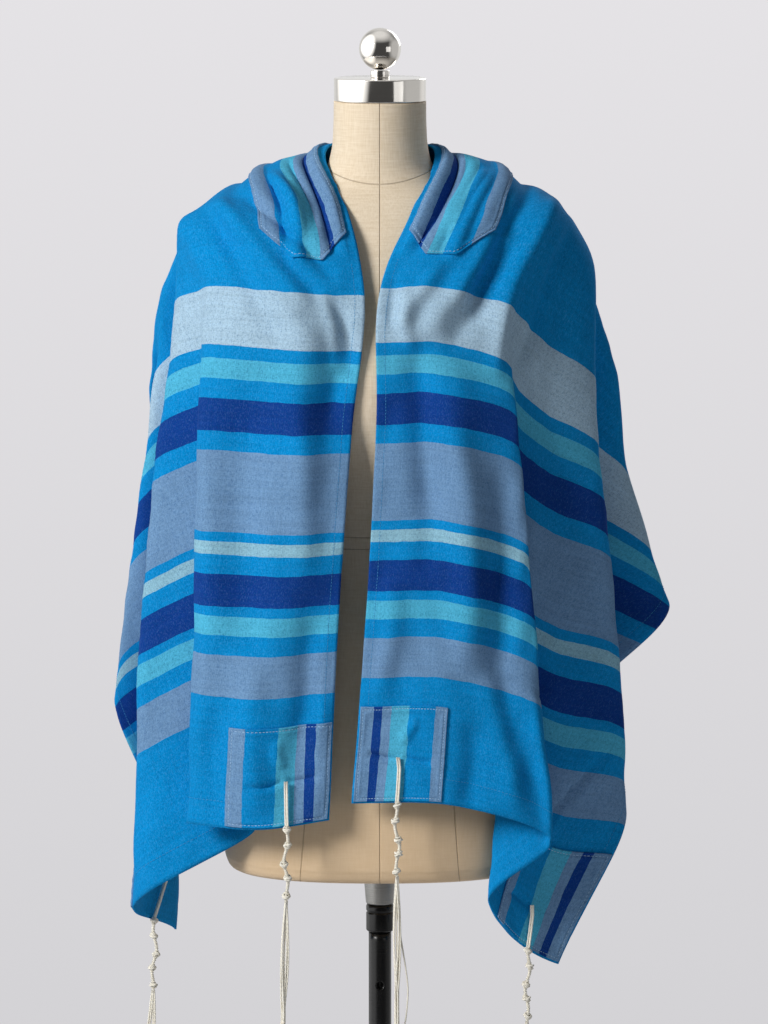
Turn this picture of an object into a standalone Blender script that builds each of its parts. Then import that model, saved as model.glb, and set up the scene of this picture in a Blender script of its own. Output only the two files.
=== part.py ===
"""A striped tallit prayer shawl resting on a limbless dress form.

The shawl is one rectangle of cloth. Every point of it has two cloth
coordinates, both in metres along the flat cloth:
  s, the distance along its length from the middle of the neck edge,
     negative towards the viewer's left front and positive towards the right;
  w, the distance across its width from the neck edge to the outer edge.
The stripes follow lines of one s. The drape is a function that turns (s, w)
into a place in space, worked out from drape lines, one table row for each.
+X is the viewer's right, the front faces -Y, and Z is up from the floor.
"""

import bpy
import numpy as np

# ---------------------------------------------------------------- cloth sizes
CLOTH_HALF_LENGTH = 0.785
CLOTH_WIDTH = 0.480
CLOTH_WALL = 0.0016
SEWN_WALL = 0.0012
SEWN_GAP = 0.0007
PATCH_SIDE = 0.095
PATCH_INSET = 0.004
BAND_INNER = 0.010
BAND_HALF_LENGTH = 0.236
BAND_CLIP = 0.028

# ------------------------------------------------- stations along the cloth, s
S_NECK_SIDE = 0.090
S_SHOULDER = 0.180
S_CHEST = 0.270

# ------------------------------------------------------------------ form sizes
FORM_SIDES = 44
CAP_BOTTOM = 1.4970
CAP_RADIUS = 0.0458
CAP_HEIGHT = 0.0230
STEM_RADIUS = 0.0095
STEM_HEIGHT = 0.0070
BALL_RADIUS = 0.0209
SOCKET_RADIUS = 0.0165
SOCKET_TIP_RADIUS = 0.0143
SOCKET_BOTTOM = 0.6880
COLLAR_RADIUS = 0.0141
COLLAR_BOTTOM = 0.6600
POLE_RADIUS = 0.0115
BASE_RADIUS = 0.1900
BASE_HEIGHT = 0.0120
HUB_RADIUS = 0.0320
HUB_HEIGHT = 0.0450
EDGE = 0.0012
GAP = 0.0003

# --------------------------------------------------------------- tassel sizes
STRING_RADIUS = 0.0020
WOUND_RADIUS = 0.0040
STRAND_RADIUS = 0.0065
WOUND_LENGTH = 0.075
STRAND_LENGTH = 0.215
CORD_STEP = 0.012

# Torso sections from the bottom up: height, half width, half depth, how far the
# section's middle lies back, and its squareness (2 is an ellipse).
TORSO_SECTIONS = [
    # z, half_width, half_depth, middle_y, squareness
    (0.728, 0.1460, 0.1020, 0.000, 2.4),
    (0.731, 0.1510, 0.1070, 0.000, 2.4),
    (0.738, 0.1545, 0.1105, 0.000, 2.4),
    (0.750, 0.1565, 0.1125, 0.000, 2.4),
    (0.800, 0.1580, 0.1135, 0.000, 2.35),
    (0.880, 0.1500, 0.1090, 0.001, 2.3),
    (0.960, 0.1300, 0.0970, 0.000, 2.2),
    (1.045, 0.1130, 0.0860, 0.000, 2.1),
    (1.125, 0.1220, 0.0940, -0.004, 2.2),
    (1.205, 0.1370, 0.1090, -0.008, 2.2),
    (1.260, 0.1430, 0.1090, -0.007, 2.2),
    (1.320, 0.1480, 0.0980, -0.005, 2.3),
    (1.360, 0.1490, 0.0850, -0.002, 2.3),
    (1.386, 0.1340, 0.0730, 0.000, 2.2),
    (1.403, 0.1060, 0.0640, 0.000, 2.1),
    (1.416, 0.0730, 0.0530, 0.000, 2.0),
    (1.430, 0.0550, 0.0480, 0.000, 2.0),
    (1.448, 0.0482, 0.0464, 0.000, 2.0),
    (1.472, 0.0462, 0.0460, 0.000, 2.0),
    (1.4967, 0.0458, 0.0458, 0.000, 2.0),
]
TORSO_LEVELS = 27

# The yoke, where the cloth lies on the nape and shoulders without a fold. One
# row for each distance w from the neck edge. "back" is the middle of the back,
# "side" is beside the neck at S_NECK_SIDE, "shoulder" is at S_SHOULDER. Each
# has how far out from the middle, y, and z. Both sides share it.
YOKE = [
    # w,    back_y, back_z, side_out, side_y, side_z, shoulder_out, shoulder_y, shoulder_z
    (0.000, 0.060, 1.451, 0.0535, 0.004, 1.447, 0.0310, -0.074, 1.393),
    (0.040, 0.078, 1.420, 0.0800, 0.006, 1.441, 0.0640, -0.084, 1.393),
    (0.100, 0.104, 1.370, 0.1220, 0.030, 1.423, 0.1240, -0.074, 1.397),
    (0.160, 0.120, 1.315, 0.1440, 0.068, 1.384, 0.1830, -0.036, 1.390),
    (0.215, 0.128, 1.262, 0.1450, 0.098, 1.332, 0.2060, 0.002, 1.350),
    (0.290, 0.134, 1.190, 0.1340, 0.120, 1.254, 0.2190, 0.036, 1.276),
    (0.385, 0.139, 1.092, 0.1240, 0.134, 1.148, 0.2260, 0.070, 1.176),
    (0.480, 0.142, 0.992, 0.1160, 0.142, 1.036, 0.2200, 0.096, 1.070),
]

# Drape lines of each front, from the centre-front edge round to the back. A
# line starts at S_CHEST and runs nearly straight to the hem. yoke_w, chest_w
# and hem_w are its distances from the neck edge above S_SHOULDER, at S_CHEST
# and at the hem. tuck pulls it in at S_SHOULDER, and bow pushes its middle out.
# A line whose hem_w is past the cloth's width leaves at the outer edge, so its
# hem place is where it would have ended.
LEFT_LINES = [
    # name, yoke_w, chest_w, hem_w, tuck, chest_out, chest_y, chest_z, hem_out, hem_y, hem_z, bow
    ("front edge", 0.000, 0.000, 0.000, 0.000, 0.015, -0.116, 1.317, 0.050, -0.135, 0.798, 0.004),
    ("panel middle", 0.078, 0.078, 0.070, 0.000, 0.090, -0.118, 1.320, 0.120, -0.140, 0.789, 0.002),
    ("panel fold", 0.150, 0.160, 0.140, 0.000, 0.173, -0.072, 1.320, 0.189, -0.108, 0.790, 0.001),
    ("panel under-fold", 0.162, 0.170, 0.215, 0.000, 0.180, -0.060, 1.316, 0.125, -0.093, 0.785, 0.000),
    ("side fold", 0.182, 0.196, 0.385, 0.000, 0.203, -0.020, 1.303, 0.248, -0.052, 0.693, 0.006),
    ("side under-fold", 0.202, 0.228, 0.480, 0.004, 0.193, 0.008, 1.270, 0.208, 0.050, 0.651, 0.004),
    ("outer turn", 0.245, 0.290, 0.720, 0.005, 0.224, 0.030, 1.224, 0.284, 0.062, 0.515, 0.010),
    ("back hollow", 0.310, 0.350, 0.790, 0.000, 0.212, 0.070, 1.160, 0.200, 0.170, 0.400, 0.000),
    ("back ridge", 0.390, 0.415, 0.860, 0.000, 0.226, 0.108, 1.095, 0.260, 0.300, 0.370, 0.000),
    ("back edge", 0.480, 0.480, 0.930, 0.000, 0.210, 0.104, 1.030, 0.180, 0.310, 0.360, 0.000),
]
RIGHT_LINES = [
    ("front edge", 0.000, 0.000, 0.000, 0.000, 0.001, -0.116, 1.324, -0.028, -0.135, 0.815, 0.004),
    ("panel middle", 0.070, 0.070, 0.110, 0.000, 0.064, -0.119, 1.324, 0.072, -0.144, 0.814, 0.002),
    ("panel fold", 0.130, 0.135, 0.215, 0.000, 0.125, -0.100, 1.304, 0.167, -0.126, 0.779, 0.001),
    ("panel under-fold", 0.142, 0.147, 0.353, 0.000, 0.136, -0.094, 1.296, 0.109, -0.102, 0.709, 0.000),
    ("corner line", 0.178, 0.205, 0.480, 0.002, 0.164, -0.072, 1.266, 0.178, -0.050, 0.636, 0.000),
    ("side fold", 0.214, 0.262, 0.559, 0.000, 0.212, -0.040, 1.229, 0.258, -0.010, 0.620, 0.001),
    ("side under-fold", 0.240, 0.320, 0.640, 0.006, 0.188, 0.000, 1.186, 0.215, 0.050, 0.550, 0.000),
    ("outer turn", 0.285, 0.400, 0.860, 0.001, 0.250, 0.032, 1.118, 0.460, 0.056, 0.430, 0.000),
    ("back hollow", 0.375, 0.442, 0.905, 0.000, 0.235, 0.064, 1.078, 0.380, 0.200, 0.410, 0.000),
    ("back edge", 0.480, 0.480, 0.950, 0.000, 0.208, 0.090, 1.040, 0.300, 0.300, 0.400, 0.000),
]


def clear_scene():
    for item in list(bpy.data.objects):
        bpy.data.objects.remove(item, do_unlink=True)


def collection_named(name):
    group = bpy.data.collections.new(name)
    bpy.context.scene.collection.children.link(group)
    return group


def material_named(name, colour, roughness, metallic=0.0):
    material = bpy.data.materials.new(name)
    material.use_nodes = True
    shader = material.node_tree.nodes["Principled BSDF"]
    shader.inputs["Base Color"].default_value = (*colour, 1.0)
    shader.inputs["Roughness"].default_value = roughness
    shader.inputs["Metallic"].default_value = metallic
    return material


def add_mesh_object(name, points, faces, material, smooth=True):
    mesh = bpy.data.meshes.new(name)
    mesh.from_pydata([tuple(p) for p in points], [], [tuple(f) for f in faces])
    mesh.materials.append(material)
    if smooth:
        mesh.shade_smooth()
    item = bpy.data.objects.new(name, mesh)
    PART.objects.link(item)
    return item


# ------------------------------------------------------------- smooth functions
def slopes(knots, values):
    """Slope at each knot: the weighted mean of the slopes on its two sides."""
    step = np.diff(knots, axis=0)
    rise = np.diff(values, axis=0) / step
    inner = (rise[:-1] * step[1:] + rise[1:] * step[:-1]) / (step[:-1] + step[1:])
    return np.concatenate([rise[:1], inner, rise[-1:]])


def smooth_curve(knots, values, at):
    """Cubic curve through values at rising knots, read at each number in at."""
    knots = np.asarray(knots, float)
    values = np.asarray(values, float)
    slope = slopes(knots[:, None], values)
    cell = np.clip(np.searchsorted(knots, at, side="right") - 1, 0, len(knots) - 2)
    step = (knots[cell + 1] - knots[cell])[:, None]
    t = ((at - knots[cell])[:, None]) / step
    return (
        values[cell] * (1 + 2 * t) * (1 - t) ** 2
        + slope[cell] * step * t * (1 - t) ** 2
        + values[cell + 1] * t * t * (3 - 2 * t)
        + slope[cell + 1] * step * t * t * (t - 1)
    )


# --------------------------------------------------------------- the drape itself
def yoke_places(w, station, side):
    """Places on the yoke at distances w: station 0 is the back, 1 the neck side, 2 the shoulder."""
    table = np.array(YOKE)
    if station == 0:
        columns = np.column_stack([np.zeros(len(table)), table[:, 1], table[:, 2]])
    else:
        first = 3 * station
        columns = table[:, first : first + 3].copy()
        columns[:, 0] *= side
    return smooth_curve(table[:, 0], columns, w)


def line_knots(lines, side):
    """Each drape line as knots (s, w, place): the back, the yoke, the chest and the way down."""
    rows = []
    for name, yoke_w, chest_w, hem_w, tuck, *ends, bow in lines:
        chest = np.array(ends[:3]) * (side, 1, 1)
        hem = np.array(ends[3:]) * (side, 1, 1)
        at = np.array([yoke_w])
        beside_neck = yoke_places(at, 1, side)[0]
        shoulder = yoke_places(at, 2, side)[0] - (side * tuck, 0, 0)
        places = [beside_neck * (-1, 1, 1), yoke_places(at, 0, side)[0], beside_neck, shoulder, chest]
        stations = [-S_NECK_SIDE, 0.0, S_NECK_SIDE, S_SHOULDER, S_CHEST]
        widths = [yoke_w] * 4 + [chest_w]
        for share in (0.25, 0.5, 0.75, 1.0):
            pushed = (side * bow * 4 * share * (1 - share), 0, 0)
            places.append(chest + (hem - chest) * share + pushed)
            stations.append(S_CHEST + (CLOTH_HALF_LENGTH - S_CHEST) * share)
            widths.append(chest_w + (hem_w - chest_w) * share)
        rows.append((np.array(stations), np.array(widths), np.array(places)))
    return rows


def place_side(s, widths, lines, side):
    """Places of one cross line of the cloth, all at one s of this side, at the given widths."""
    at = np.array([s])
    across, places = [], []
    for stations, line_widths, line_places in line_knots(lines, side):
        across.append(np.interp(s, stations, line_widths))
        places.append(smooth_curve(stations, line_places, at)[0])
    return smooth_curve(np.array(across), np.array(places), widths)


def drape(s_lines, w_lines):
    """The cloth's middle surface as an array [len(s_lines), len(w_lines), 3]."""
    rows = []
    for s in s_lines:
        lines, side = (RIGHT_LINES, 1.0) if s >= 0 else (LEFT_LINES, -1.0)
        rows.append(place_side(abs(s), w_lines, lines, side))
    return np.array(rows)


def outward_normals(grid):
    """Unit normals of the grid, pointing away from the form on the cloth's right side."""
    along = np.gradient(grid, axis=0)
    across = np.gradient(grid, axis=1)
    normal = np.cross(along, across)
    return normal / np.linalg.norm(normal, axis=2, keepdims=True)


# -------------------------------------------------------------- the cloth's grid
def grid_lines(marks, step):
    """Grid lines through every mark, with even lines about a step apart between them."""
    runs = []
    for low, high in zip(marks, marks[1:]):
        cells = max(1, round((high - low) / step))
        runs.append(np.linspace(low, high, cells + 1)[:-1])
    return np.concatenate(runs + [[marks[-1]]])


BAND_OUTER = PATCH_INSET + PATCH_SIDE
BAND_MIDDLE = (BAND_INNER + BAND_OUTER) / 2
PATCH_FAR = CLOTH_HALF_LENGTH - PATCH_INSET
PATCH_NEAR = PATCH_FAR - PATCH_SIDE
HALF_MARKS = [BAND_HALF_LENGTH - BAND_CLIP, BAND_HALF_LENGTH, PATCH_NEAR, PATCH_FAR, CLOTH_HALF_LENGTH]
S_LINES = grid_lines([-mark for mark in HALF_MARKS[::-1]] + [0.0] + HALF_MARKS, 0.034)
NECK_MARKS = [0.0, PATCH_INSET, BAND_INNER, BAND_INNER + BAND_CLIP, BAND_OUTER - BAND_CLIP, BAND_OUTER]
OUTER_MARKS = [CLOTH_WIDTH - BAND_OUTER, CLOTH_WIDTH - PATCH_INSET, CLOTH_WIDTH]
W_LINES = grid_lines(NECK_MARKS + OUTER_MARKS, 0.017)
CLOTH = drape(S_LINES, W_LINES)
NORMALS = outward_normals(CLOTH)


def cloth_triangles(wanted):
    """Triangles of the grid cells whose middles wanted(s, w) accepts, facing outwards.

    Every piece on the cloth uses the same diagonals, so it lies parallel to the cloth.
    They follow the folds, which drift outwards down each front, and the band's clipped ends.
    """
    columns = len(W_LINES)
    found = []
    for i, j in np.ndindex(len(S_LINES) - 1, columns - 1):
        a, b = i * columns + j, (i + 1) * columns + j
        c, d = b + 1, a + 1
        s_middle = (S_LINES[i] + S_LINES[i + 1]) / 2
        on_outer_half = BAND_MIDDLE < W_LINES[j] < BAND_OUTER and abs(s_middle) < BAND_HALF_LENGTH
        if (s_middle > 0) == on_outer_half:
            pair = [(a, b, d), (b, c, d)]
        else:
            pair = [(a, b, c), (a, c, d)]
        for corners in pair:
            s = np.mean([S_LINES[corner // columns] for corner in corners])
            w = np.mean([W_LINES[corner % columns] for corner in corners])
            if wanted(s, w):
                found.append(corners)
    return found


def cloth_piece(name, wanted, lift, wall, material):
    """A cloth wall on the wanted part of the shawl, its middle moved out by lift."""
    faces = cloth_triangles(wanted)
    points = (CLOTH + lift * NORMALS).reshape(-1, 3)
    used = np.unique(faces)
    item = add_mesh_object(name, points[used], np.searchsorted(used, faces), material)
    shell = item.modifiers.new("wall", "SOLIDIFY")
    shell.thickness = wall
    shell.offset = 0.0
    return item


def on_neckband(s, w):
    """Inside the band, whose four end corners are clipped at 45 degrees."""
    if abs(s) > BAND_HALF_LENGTH or not BAND_INNER < w < BAND_OUTER:
        return False
    past = abs(s) - (BAND_HALF_LENGTH - BAND_CLIP)
    return past < min(w - BAND_INNER, BAND_OUTER - w)


def patch_test(side, outer):
    """The test for one corner patch: side is -1 or 1, outer is true at the outer edge."""

    def inside(s, w):
        across = CLOTH_WIDTH - w if outer else w
        return PATCH_NEAR < side * s < PATCH_FAR and PATCH_INSET < across < BAND_OUTER

    return inside


# ------------------------------------------------------------------ round pieces
def turned(name, profile, material, steps=32):
    """A profile of (radius, z) from top to bottom, turned about the middle line."""
    mesh = bpy.data.meshes.new(name)
    points = [(radius, 0.0, z) for radius, z in profile]
    mesh.from_pydata(points, [(k, k + 1) for k in range(len(points) - 1)], [])
    mesh.materials.append(material)
    item = bpy.data.objects.new(name, mesh)
    PART.objects.link(item)
    screw = item.modifiers.new("turn", "SCREW")
    screw.steps = steps
    screw.render_steps = steps
    screw.use_merge_vertices = True
    screw.merge_threshold = 0.00001
    screw.use_smooth_shade = True
    return item


def drum(radius, top, bottom, edge):
    """Profile of a solid drum whose two rims are cut back by edge."""
    return [
        (0.0, top),
        (radius - edge, top),
        (radius, top - edge),
        (radius, bottom + edge),
        (radius - edge, bottom),
        (0.0, bottom),
    ]


def build_torso(material):
    """A loft of squared ellipses read from the torso's sections, closed at both ends."""
    table = np.array(TORSO_SECTIONS)
    spread = np.linspace(0, len(table) - 1, TORSO_LEVELS)
    levels = smooth_curve(np.arange(len(table)), table, spread)
    turn = np.linspace(0, 2 * np.pi, FORM_SIDES, endpoint=False)
    rings = []
    for z, half_width, half_depth, middle, square in levels:
        x = np.sign(np.cos(turn)) * np.abs(np.cos(turn)) ** (2 / square) * half_width
        y = np.sign(np.sin(turn)) * np.abs(np.sin(turn)) ** (2 / square) * half_depth
        rings.append(np.column_stack([x, middle + y, np.full(FORM_SIDES, z)]))
    faces = [list(range(FORM_SIDES))[::-1]]
    for level in range(TORSO_LEVELS - 1):
        base = level * FORM_SIDES
        for k in range(FORM_SIDES):
            k2 = (k + 1) % FORM_SIDES
            faces.append((base + k, base + k2, base + FORM_SIDES + k2, base + FORM_SIDES + k))
    faces.append(list(range((TORSO_LEVELS - 1) * FORM_SIDES, TORSO_LEVELS * FORM_SIDES)))
    return add_mesh_object("form_torso", np.concatenate(rings), faces, material)


# ----------------------------------------------------------------------- tassels
def cloth_point(s, w, lift):
    """The place at (s, w), moved out of the cloth by lift (negative is the wrong side)."""
    around = drape([s - 0.004, s, s + 0.004], np.array([w - 0.004, w, w + 0.004]))
    return around[1, 1] + lift * outward_normals(around)[1, 1]


# Tassels: the eyelet's s and w from the corner, where the strings cross the hem,
# which face they lie on, and how far the free strands swing in x and y.
TASSELS = [
    # name, side, hole_s, hole_w, hem_w, face, swing_x, swing_y
    ("tassel_front_left", -1, 0.740, 0.046, 0.042, 1, -0.006, 0.004),
    ("tassel_front_right", 1, 0.740, 0.050, 0.050, 1, 0.000, 0.004),
    ("tassel_back_left", -1, 0.744, 0.432, 0.428, -1, -0.012, 0.000),
    ("tassel_back_right", 1, 0.746, 0.424, 0.437, 1, -0.006, 0.000),
]
CLOTH_TO_STRING = CLOTH_WALL / 2 + 2 * SEWN_GAP + SEWN_WALL + STRING_RADIUS


def tassel_route(side, hole_s, hole_w, hem_w, face, swing_x, swing_y):
    """The tassel's middle line: down the face from the eyelet, over the hem, then hanging."""
    lift = face * CLOTH_TO_STRING
    edge = CLOTH_HALF_LENGTH - 0.002
    shares = np.linspace(0, 1, 4)
    on_face = [
        cloth_point(side * (hole_s + (edge - hole_s) * t), hole_w + (hem_w - hole_w) * t, lift)
        for t in shares
    ]
    hang = WOUND_LENGTH + STRAND_LENGTH
    drops = np.arange(CORD_STEP, hang + CORD_STEP / 2, CORD_STEP)
    swing = (drops / hang) ** 1.5
    hanging = on_face[-1] + np.column_stack([swing_x * swing, swing_y * swing, -drops])
    return np.concatenate([on_face, hanging])


def build_tassel(name, route, material):
    """A plain tube of the tassel's reach: thin strings, the wound knots, then the strands."""
    data = bpy.data.curves.new(name, "CURVE")
    data.dimensions = "3D"
    data.bevel_depth = STRING_RADIUS
    data.bevel_resolution = 2
    data.use_fill_caps = True
    line = data.splines.new("POLY")
    line.points.add(len(route) - 1)
    top = route[3][2]
    for point, place in zip(line.points, route):
        drop = top - place[2]
        radius = np.interp(
            drop,
            [0.0, CORD_STEP, WOUND_LENGTH, WOUND_LENGTH + 2 * CORD_STEP],
            [STRING_RADIUS, WOUND_RADIUS, WOUND_RADIUS, STRAND_RADIUS],
        )
        point.co = (*place, 1.0)
        point.radius = radius / STRING_RADIUS
    data.materials.append(material)
    item = bpy.data.objects.new(name, data)
    PART.objects.link(item)
    return item


# --------------------------------------------------------------------- the build
clear_scene()
PART = collection_named("tallit_prayer_shawl_on_dress_form")
WEAVE = material_named("shawl_cloth", (0.010, 0.230, 0.580), 0.85)
BAND = material_named("striped_band_cloth", (0.270, 0.430, 0.680), 0.85)
CORD = material_named("tassel_cord", (0.800, 0.750, 0.640), 0.80)
CANVAS = material_named("form_canvas", (0.780, 0.670, 0.480), 0.75)
CHROME = material_named("chromed_metal", (0.800, 0.790, 0.770), 0.15, 1.0)
STEEL = material_named("brushed_metal", (0.450, 0.450, 0.450), 0.35, 1.0)
BLACK = material_named("black_lacquer", (0.012, 0.012, 0.012), 0.25)

cloth_piece("shawl", lambda s, w: True, 0.0, CLOTH_WALL, WEAVE)
SEWN_LIFT = CLOTH_WALL / 2 + SEWN_GAP + SEWN_WALL / 2
cloth_piece("neckband", on_neckband, SEWN_LIFT, SEWN_WALL, BAND)
for place, outer in (("front", False), ("back", True)):
    for hand, side in (("left", -1), ("right", 1)):
        cloth_piece(f"patch_{place}_{hand}", patch_test(side, outer), SEWN_LIFT, SEWN_WALL, BAND)
for name, *facts in TASSELS:
    build_tassel(name, tassel_route(*facts), CORD)

build_torso(CANVAS)
cap_top = CAP_BOTTOM + CAP_HEIGHT
turned("form_neck_cap", drum(CAP_RADIUS, cap_top, CAP_BOTTOM, EDGE), CHROME)
stem_bottom = cap_top + GAP
stem_top = stem_bottom + STEM_HEIGHT
turned("form_finial_stem", drum(STEM_RADIUS, stem_top, stem_bottom, EDGE / 2), CHROME, 24)
ball_tilt = np.linspace(0, np.pi, 15)
ball_middle = stem_top + GAP + BALL_RADIUS
ball = [(abs(BALL_RADIUS * np.sin(a)), ball_middle + BALL_RADIUS * np.cos(a)) for a in ball_tilt]
turned("form_finial_ball", ball, CHROME, 28)
socket_top = TORSO_SECTIONS[0][0] - GAP
socket = [(0.0, socket_top), (SOCKET_RADIUS, socket_top), (SOCKET_RADIUS, socket_top - 0.012)]
socket += [(SOCKET_TIP_RADIUS, SOCKET_BOTTOM + EDGE), (SOCKET_TIP_RADIUS - EDGE, SOCKET_BOTTOM)]
turned("form_socket", socket + [(0.0, SOCKET_BOTTOM)], STEEL, 28)
collar_top = SOCKET_BOTTOM - GAP
turned("form_collar", drum(COLLAR_RADIUS, collar_top, COLLAR_BOTTOM, EDGE), BLACK, 28)
hub_top = BASE_HEIGHT + HUB_HEIGHT
turned("form_pole", drum(POLE_RADIUS, COLLAR_BOTTOM - GAP, hub_top + GAP, EDGE / 2), BLACK, 28)
hub = [(0.0, hub_top), (HUB_RADIUS * 0.55, hub_top), (HUB_RADIUS * 0.62, hub_top - 0.003)]
hub += [(HUB_RADIUS * 0.75, BASE_HEIGHT + 0.010), (HUB_RADIUS, BASE_HEIGHT + 0.002)]
turned("form_hub", hub + [(HUB_RADIUS, BASE_HEIGHT + GAP), (0.0, BASE_HEIGHT + GAP)], BLACK, 40)
base = [(0.0, BASE_HEIGHT), (BASE_RADIUS - 0.012, BASE_HEIGHT), (BASE_RADIUS - 0.002, BASE_HEIGHT - 0.005)]
base += [(BASE_RADIUS, BASE_HEIGHT - 0.009), (BASE_RADIUS - 0.001, 0.0), (0.0, 0.0)]
turned("form_base", base, BLACK, 48)
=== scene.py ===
# %% [markdown]
# # A striped prayer shawl on a dress form
#
# A tallit is one long rectangle of woven cloth with stripes near both ends. It is worn
# open over the shoulders. A band is sewn on at the neck, a square patch on each corner,
# and a knotted cord hangs from an eyelet in each patch. Here it rests on a limbless
# dress form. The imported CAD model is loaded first, and everything is made around it.

import bpy
import numpy as np
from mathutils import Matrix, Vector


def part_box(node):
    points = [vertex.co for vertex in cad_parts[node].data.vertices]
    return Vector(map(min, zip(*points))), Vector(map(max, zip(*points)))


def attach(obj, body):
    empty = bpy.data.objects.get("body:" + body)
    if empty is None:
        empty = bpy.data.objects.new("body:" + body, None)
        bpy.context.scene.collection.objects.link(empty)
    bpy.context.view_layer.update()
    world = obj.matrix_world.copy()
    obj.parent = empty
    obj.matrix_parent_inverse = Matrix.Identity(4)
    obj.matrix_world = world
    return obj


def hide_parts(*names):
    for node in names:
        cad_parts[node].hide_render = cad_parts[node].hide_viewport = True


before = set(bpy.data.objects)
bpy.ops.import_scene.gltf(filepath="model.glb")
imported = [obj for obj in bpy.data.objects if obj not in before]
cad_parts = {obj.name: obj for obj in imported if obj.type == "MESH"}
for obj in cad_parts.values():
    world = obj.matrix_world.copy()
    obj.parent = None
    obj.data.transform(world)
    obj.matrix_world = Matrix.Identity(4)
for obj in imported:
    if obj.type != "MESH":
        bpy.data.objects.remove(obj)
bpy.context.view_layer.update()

# %% [markdown]
# ## The camera
#
# The form is a little over 1.5 m tall, and it is looked at from about 6 m away with a
# long lens, slightly from above, so the sides stay nearly upright. The bottom of the
# stand is outside the view.

# %% Camera
CAMERA_TILT = np.radians(7.5)
CAMERA_DISTANCE = 6.0
CAMERA_TARGET = np.array([0.004, 0.0, 1.086])
SEEN_HEIGHT = 1.024
SENSOR = 36.0


def place_camera():
    """Looks along +Y, tilted down, with a lens that sees SEEN_HEIGHT at the target."""
    data = bpy.data.cameras.new("camera")
    data.sensor_width = SENSOR
    data.lens = SENSOR * CAMERA_DISTANCE / SEEN_HEIGHT
    camera = bpy.data.objects.new("camera", data)
    bpy.context.scene.collection.objects.link(camera)
    back = np.array([0.0, -np.cos(CAMERA_TILT), np.sin(CAMERA_TILT)]) * CAMERA_DISTANCE
    camera.location = CAMERA_TARGET + back
    camera.rotation_euler = (np.pi / 2 - CAMERA_TILT, 0.0, 0.0)
    bpy.context.scene.camera = camera
    print("camera at", [round(x, 3) for x in camera.location], "lens", round(data.lens, 1))


place_camera()

# %% [markdown]
# ## The flat cloth and its drape
#
# Every point of the cloth has two coordinates in metres: s along its length from the
# middle of the neck edge (negative on the left), and w across its width from the neck
# edge. The drape turns (s, w) into a place. It could be simulated, but a garment that
# must keep a known outline is surer when its main folds are placed one by one: each
# drape line below is the path of one fold ridge or hollow from the nape to the hem, and
# cubic curves join the lines. The same tables give the CAD cloth its form.

# %% Sizes of the cloth
CLOTH_HALF_LENGTH = 0.785
CLOTH_WIDTH = 0.480
PATCH_SIDE = 0.095
PATCH_INSET = 0.002
BAND_INNER = 0.010
BAND_OUTER = PATCH_INSET + PATCH_SIDE
BAND_HALF_LENGTH = 0.236
BAND_CLIP = 0.028
S_NECK_SIDE = 0.090
S_SHOULDER = 0.180
S_CHEST = 0.270

# The yoke, where the cloth lies on the nape and shoulders without a fold.
YOKE = np.array([
    # w,    back_y, back_z, side_out, side_y, side_z, shoulder_out, shoulder_y, shoulder_z
    (0.000, 0.060, 1.451, 0.0535, 0.004, 1.447, 0.0310, -0.074, 1.393),
    (0.040, 0.078, 1.420, 0.0800, 0.006, 1.441, 0.0640, -0.084, 1.393),
    (0.100, 0.104, 1.370, 0.1220, 0.030, 1.423, 0.1240, -0.074, 1.397),
    (0.160, 0.120, 1.315, 0.1440, 0.068, 1.384, 0.1830, -0.036, 1.390),
    (0.215, 0.128, 1.262, 0.1450, 0.098, 1.332, 0.2060, 0.002, 1.350),
    (0.290, 0.134, 1.190, 0.1340, 0.120, 1.254, 0.2190, 0.036, 1.276),
    (0.385, 0.139, 1.092, 0.1240, 0.134, 1.148, 0.2260, 0.070, 1.176),
    (0.480, 0.142, 0.992, 0.1160, 0.142, 1.036, 0.2200, 0.096, 1.070),
])

# Drape lines, from the centre-front edge round to the back: distances from the neck
# edge at the shoulder, chest and hem, a tuck at the shoulder, the chest and hem places,
# and a bow between them.
LEFT_LINES = [
    # yoke_w, chest_w, hem_w, tuck, chest_out, chest_y, chest_z, hem_out, hem_y, hem_z, bow
    (0.000, 0.000, 0.000, 0.000, 0.015, -0.116, 1.317, 0.050, -0.135, 0.798, 0.004),  # front edge
    (0.078, 0.078, 0.070, 0.000, 0.090, -0.118, 1.320, 0.120, -0.140, 0.789, 0.002),  # panel middle
    (0.150, 0.160, 0.140, 0.000, 0.173, -0.072, 1.320, 0.189, -0.108, 0.790, 0.001),  # panel fold
    (0.162, 0.170, 0.215, 0.000, 0.180, -0.060, 1.316, 0.125, -0.093, 0.785, 0.000),  # under-fold
    (0.182, 0.196, 0.385, 0.000, 0.203, -0.020, 1.303, 0.248, -0.052, 0.693, 0.006),  # side fold
    (0.202, 0.228, 0.480, 0.004, 0.193, 0.008, 1.270, 0.208, 0.050, 0.651, 0.004),  # side under-fold
    (0.245, 0.290, 0.720, 0.005, 0.224, 0.030, 1.224, 0.284, 0.062, 0.515, 0.010),  # outer turn
    (0.310, 0.350, 0.790, 0.000, 0.212, 0.070, 1.160, 0.200, 0.170, 0.400, 0.000),  # back hollow
    (0.390, 0.415, 0.860, 0.000, 0.226, 0.108, 1.095, 0.260, 0.300, 0.370, 0.000),  # back ridge
    (0.480, 0.480, 0.930, 0.000, 0.210, 0.104, 1.030, 0.180, 0.310, 0.360, 0.000),  # back edge
]
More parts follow.
